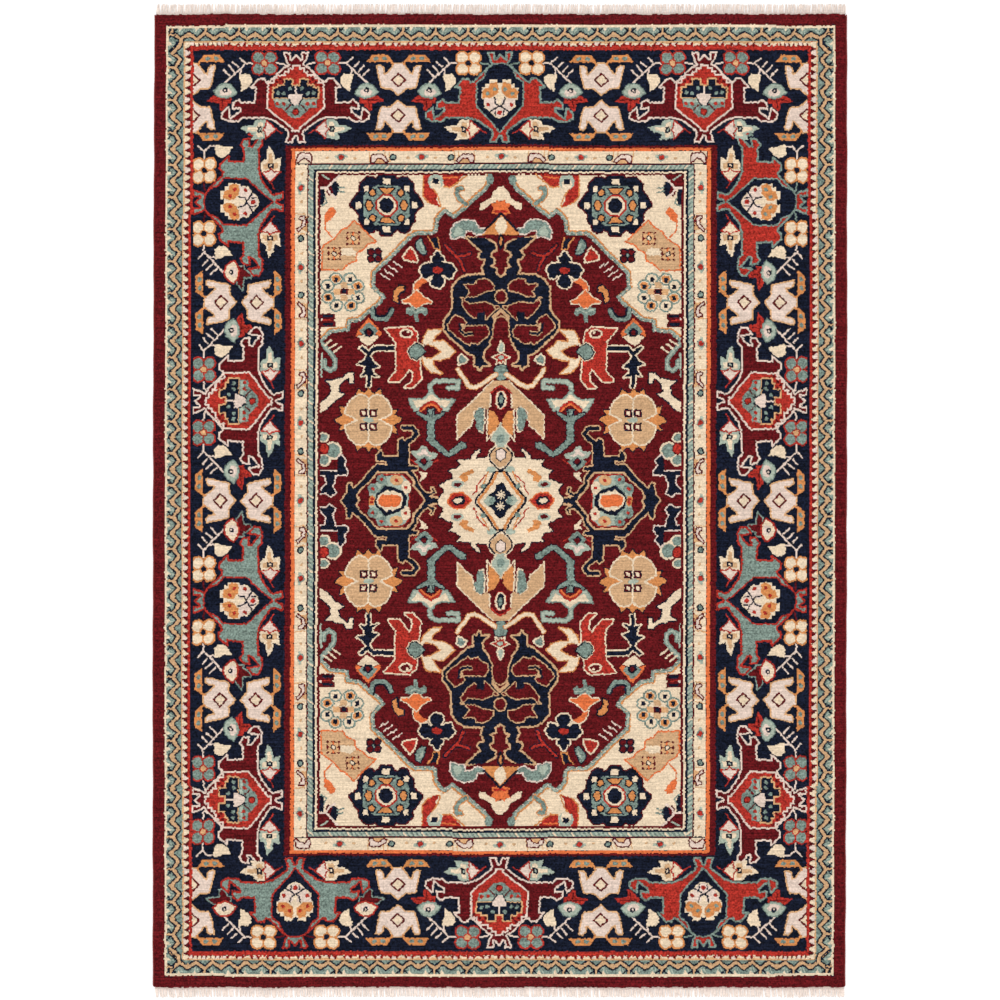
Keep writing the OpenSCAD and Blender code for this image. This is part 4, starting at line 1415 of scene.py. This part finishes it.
class RUG_OT_side_edges(bpy.types.Operator):
    """Make the cord of each side and the yarn that is wound over it"""
    bl_idname = "rug.side_edges"
    bl_label = "Side Edges"

    def execute(self, context):
        sizes, colours = context.scene.rug_sizes, context.scene.rug_colours
        cord_mat = streaky_yarn("edge_cord_cotton", tuple(colours.cotton), 0.05, 0.1)
        # the wrap's colour carries a painted highlight, lighter than the crimson pile
        wrap_mat = streaky_yarn("overcast_wool", tuple(colours.overcast), 0.1, 0.22)
        for side, sign in (("left", -1), ("right", 1)):
            (low_x, low_y, low_z), (high_x, high_y, high_z) = node_box(f"overcast_{side}")
            x, z, radius = (low_x + high_x) / 2, (low_z + high_z) / 2, (high_x - low_x) / 2
            self.wrap(f"overcast_{side}", x, z, radius, low_y, high_y, sign, sizes, wrap_mat)
            self.cord(side, x, z, low_y, high_y, cord_mat)
        return {"FINISHED"}

    def wrap(self, name, x, z, radius, y0, y1, sign, sizes, mat):
        """Turns of yarn side by side: the sleeve swells at each turn and dips between turns."""
        sides = 10
        pitch = (y1 - y0) / round((y1 - y0) / sizes.wrap_pitch)
        turns = round((y1 - y0) / pitch)
        slant = pitch * 1.3
        rng = random.Random(WRAP_SEED)
        verts = []
        for turn in range(turns):
            swell = 1 + rng.uniform(-0.04, 0.03)
            for share, size in ((0.02, 0.83), (0.25, 0.97), (0.75, 0.97), (0.98, 0.83)):
                y = y0 + (turn + share) * pitch
                for s in range(sides):
                    t = math.tau * s / sides
                    r = radius * min(1.0, size * swell)
                    lean = slant * 0.5 * math.cos(t) * sign
                    verts.append((x + r * math.cos(t), min(y1, max(y0, y + lean)), z + r * math.sin(t)))
        faces = tube_faces(len(verts) // sides, sides)
        mesh_piece(name, verts, faces, mat, name, smooth=True)

    def cord(self, side, x, z, y0, y1, mat):
        """The cotton cord inside: three plies that show only where the ends are cut."""
        sides, steps, radius = 6, 220, 0.0009
        groups = []
        for ply in range(3):
            verts = []
            for k in range(steps + 1):
                y = y0 + 0.0004 + (y1 - y0 - 0.0008) * k / steps
                turn = math.tau * (ply / 3 + k / 5)
                cx, cz = x + 0.0006 * math.cos(turn), z + 0.0006 * math.sin(turn)
                for s in range(sides):
                    t = math.tau * s / sides
                    verts.append((cx + radius * math.cos(t), y, cz + radius * math.sin(t)))
            groups.append((verts, tube_faces(steps + 1, sides)))
        verts, faces = joined(groups)
        mesh_piece(f"edge_cord_{side}", verts, faces, mat, f"selvedge_cord_{side}",
                   smooth=True)


class RUG_OT_fringes(bpy.types.Operator):
    """Make both cotton fringes: the heading, its lock stitches and the twisted strands"""
    bl_idname = "rug.fringes"
    bl_label = "Fringes"

    def execute(self, context):
        sizes, colours = context.scene.rug_sizes, context.scene.rug_colours
        cotton = streaky_yarn("fringe_cotton", tuple(colours.cotton), 0.05, 0.1, sheen=0.05)
        thread = streaky_yarn("lock_thread", tuple(c * 0.92 for c in colours.cotton), 0.03, 0.05,
                              sheen=0.05)
        for end, sign in (("top_end", 1), ("bottom_end", -1)):
            self.heading(end, cotton)
            self.strands(end, sign, sizes, cotton)
            self.stitches(end, thread)
        return {"FINISHED"}

    def heading(self, end, mat):
        """Woven web of the fringe: a narrow ribbed tape under the end of the pile."""
        low, high = node_box(f"fringe_heading_{end}")
        ribs = 520
        xs = np.linspace(low[0], high[0], ribs * 2 + 1)
        y_in, y_out = low[1], high[1]
        verts, faces = [], []
        lanes = ((y_in, low[2]), (y_in, 0.8 * high[2]), (y_in * 0.6 + y_out * 0.4, high[2]),
                 (y_out, 0.75 * high[2]), (y_out, low[2]))
        n = len(lanes)
        for k, x in enumerate(xs):
            dip = 0.0 if k % 2 else 0.0004
            for y, z in lanes:
                verts.append((x, y, max(low[2], z - dip * (z > low[2]))))
        for k in range(len(xs) - 1):
            for s in range(n):
                a, b = k * n + s, k * n + (s + 1) % n
                faces.append((a, b, b + n, a + n))
        name = f"fringe_heading_{end}"
        close_holes(mesh_piece(name, verts, faces, mat, name))

    def strands(self, end, sign, sizes, mat):
        """Twisted strands, laid close and leaning a little, each a soft tube with a frayed tip."""
        low, high = node_box(f"fringe_strands_{end}")
        root_y, tip_y = (low[1], high[1]) if sign > 0 else (high[1], low[1])
        length = abs(tip_y - root_y) + 0.002
        low[0], high[0] = CLOTH_LOW[0] - 0.001, CLOTH_HIGH[0] + 0.003
        count = round((high[0] - low[0]) / sizes.strand_pitch)
        sides, rings = sizes.strand_sides, 7
        rng = random.Random(STRAND_SEED)
        groups = []
        for n in range(count):
            x = low[0] + (n + 0.5) * (high[0] - low[0]) / count + rng.uniform(-0.0004, 0.0004)
            reach = length * rng.uniform(0.9, 1.0)
            lean = rng.uniform(-0.001, 0.0035)
            sway = rng.uniform(-0.0012, 0.0012)
            girth = rng.uniform(0.0014, 0.0019)
            verts = []
            for k in range(rings):
                f = k / (rings - 1)
                y = root_y - sign * 0.002 + sign * (reach + 0.002) * f
                cx = x + lean * f + sway * math.sin(math.pi * f)
                r = girth * (0.95 + 0.16 * math.cos(5.2 * math.tau * f + n))
                r *= 0.5 if k == rings - 1 else 1.0
                for s in range(sides):
                    t = math.tau * s / sides + 1.1 * k
                    across = min(high[0], max(low[0], cx + r * math.cos(t)))
                    verts.append((across, y, max(0.0, 0.0011 * (1 + math.sin(t)))))
            groups.append((verts, tube_faces(rings, sides, sign)))
        verts, faces = joined(groups)
        name = f"fringe_strands_{end}"
        mesh_piece(name, verts, faces, mat, name, smooth=True)

    def stitches(self, end, mat):
        """Slanting stitches of the thread that holds the heading."""
        low, high = node_box(f"fringe_stitches_{end}")
        pitch, sides = 0.005, 6
        path = ((-1.0, 0.0), (-0.5, 0.8), (0.5, 0.8), (1.0, 0.0))
        count = round((high[0] - low[0]) / pitch)
        mid_y, half = (low[1] + high[1]) / 2, (high[1] - low[1]) / 2
        groups = []
        for n in range(count):
            x = low[0] + (n + 0.5) * (high[0] - low[0]) / count
            verts = []
            for f, up in path:
                for s in range(sides):
                    t = math.tau * s / sides
                    verts.append((x + 0.0014 * f + 0.0004 * math.cos(t), mid_y + half * 0.9 * f,
                                  low[2] - 0.0006 + 0.0011 * up + 0.0004 * math.sin(t)))
            groups.append((verts, tube_faces(len(path), sides)))
        verts, faces = joined(groups)
        name = f"fringe_stitches_{end}"
        mesh_piece(name, verts, faces, mat, name, smooth=True)


def close_holes(piece):
    """Fills the open ends of a piece and turns every face outwards."""
    bpy.ops.object.select_all(action="DESELECT")
    bpy.context.view_layer.objects.active = piece
    piece.select_set(True)
    bpy.ops.object.mode_set(mode="EDIT")
    bpy.ops.mesh.select_all(action="SELECT")
    bpy.ops.mesh.fill_holes(sides=0)
    bpy.ops.mesh.select_all(action="SELECT")
    bpy.ops.mesh.normals_make_consistent(inside=False)
    bpy.ops.object.mode_set(mode="OBJECT")
    piece.select_set(False)


VIEW_WIDTH = 2.3088               # how much of the floor the camera sees, in metres
VIEW_MIDDLE = (0.0002, 0.0016)


class RUG_OT_stage(bpy.types.Operator):
    """Lay a plain pale floor and set the soft light and the camera above the rug"""
    bl_idname = "rug.stage"
    bl_label = "Stage"

    def execute(self, context):
        scene = context.scene
        bpy.ops.object.select_all(action="DESELECT")
        bpy.ops.mesh.primitive_plane_add(size=30, location=(0, 0, -0.0002))
        floor = context.active_object
        floor.name = "studio_floor"
        paper = bpy.data.materials.new("floor_paper")
        paper.use_nodes = True
        shader = paper.node_tree.nodes["Principled BSDF"]
        shader.inputs["Base Color"].default_value = (0.98, 0.98, 0.98, 1)
        shader.inputs["Roughness"].default_value = 1.0
        shader.inputs["Specular IOR Level"].default_value = 0.0
        floor.data.materials.append(paper)
        world = bpy.data.worlds.new("studio_light")
        world.use_nodes = True
        world.node_tree.nodes["Background"].inputs["Color"].default_value = (1, 1, 1, 1)
        world.node_tree.nodes["Background"].inputs["Strength"].default_value = 1.1
        scene.world = world
        lamp = bpy.data.lights.new("window_light", "AREA")
        lamp.shape, lamp.size, lamp.energy = "DISK", 5.0, 60.0
        soft = bpy.data.objects.new("window_light", lamp)
        soft.location = (-1.0, 1.0, 4.8)
        soft.rotation_euler = (-soft.location).to_track_quat("-Z", "Y").to_euler()
        scene.collection.objects.link(soft)
        camera_data = bpy.data.cameras.new("overhead_camera")
        camera = bpy.data.objects.new("overhead_camera", camera_data)
        scene.collection.objects.link(camera)
        camera_data.sensor_width = 36.0
        camera_data.lens = 100.0
        above = VIEW_WIDTH * camera_data.lens / camera_data.sensor_width
        camera.location = (*VIEW_MIDDLE, above + PILE_TOP)
        scene.camera = camera
        scene.view_settings.view_transform = "Standard"
        return {"FINISHED"}


class RUG_PT_panel(bpy.types.Panel):
    """Sizes, colours and steps of the rug"""
    bl_idname = "RUG_PT_panel"
    bl_label = "Area Rug"
    bl_space_type = "VIEW_3D"
    bl_region_type = "UI"
    bl_category = "Area Rug"

    def draw(self, context):
        column = self.layout.column()
        for group in (context.scene.rug_sizes, context.scene.rug_colours):
            for name in group.bl_rna.properties.keys():
                if name not in ("rna_type", "name"):
                    column.prop(group, name)
        for step in STEPS:
            column.operator(step.bl_idname)


STEPS = (RUG_OT_weave_pile, RUG_OT_ground_cloth, RUG_OT_side_edges, RUG_OT_fringes, RUG_OT_stage)
CLASSES = (RugSizes, RugColours, *STEPS, RUG_PT_panel)


def register():
    """Adds the classes and the two groups of properties."""
    for cls in CLASSES:
        bpy.utils.register_class(cls)
    bpy.types.Scene.rug_sizes = bpy.props.PointerProperty(type=RugSizes)
    bpy.types.Scene.rug_colours = bpy.props.PointerProperty(type=RugColours)


def unregister():
    """Takes them away again."""
    del bpy.types.Scene.rug_colours
    del bpy.types.Scene.rug_sizes
    for cls in reversed(CLASSES):
        bpy.utils.unregister_class(cls)


def main():
    """Makes the rug step by step."""
    register()
    bpy.ops.rug.weave_pile()
    bpy.ops.rug.ground_cloth()
    bpy.ops.rug.side_edges()
    bpy.ops.rug.fringes()
    bpy.ops.rug.stage()


if __name__ == "__main__":
    main()
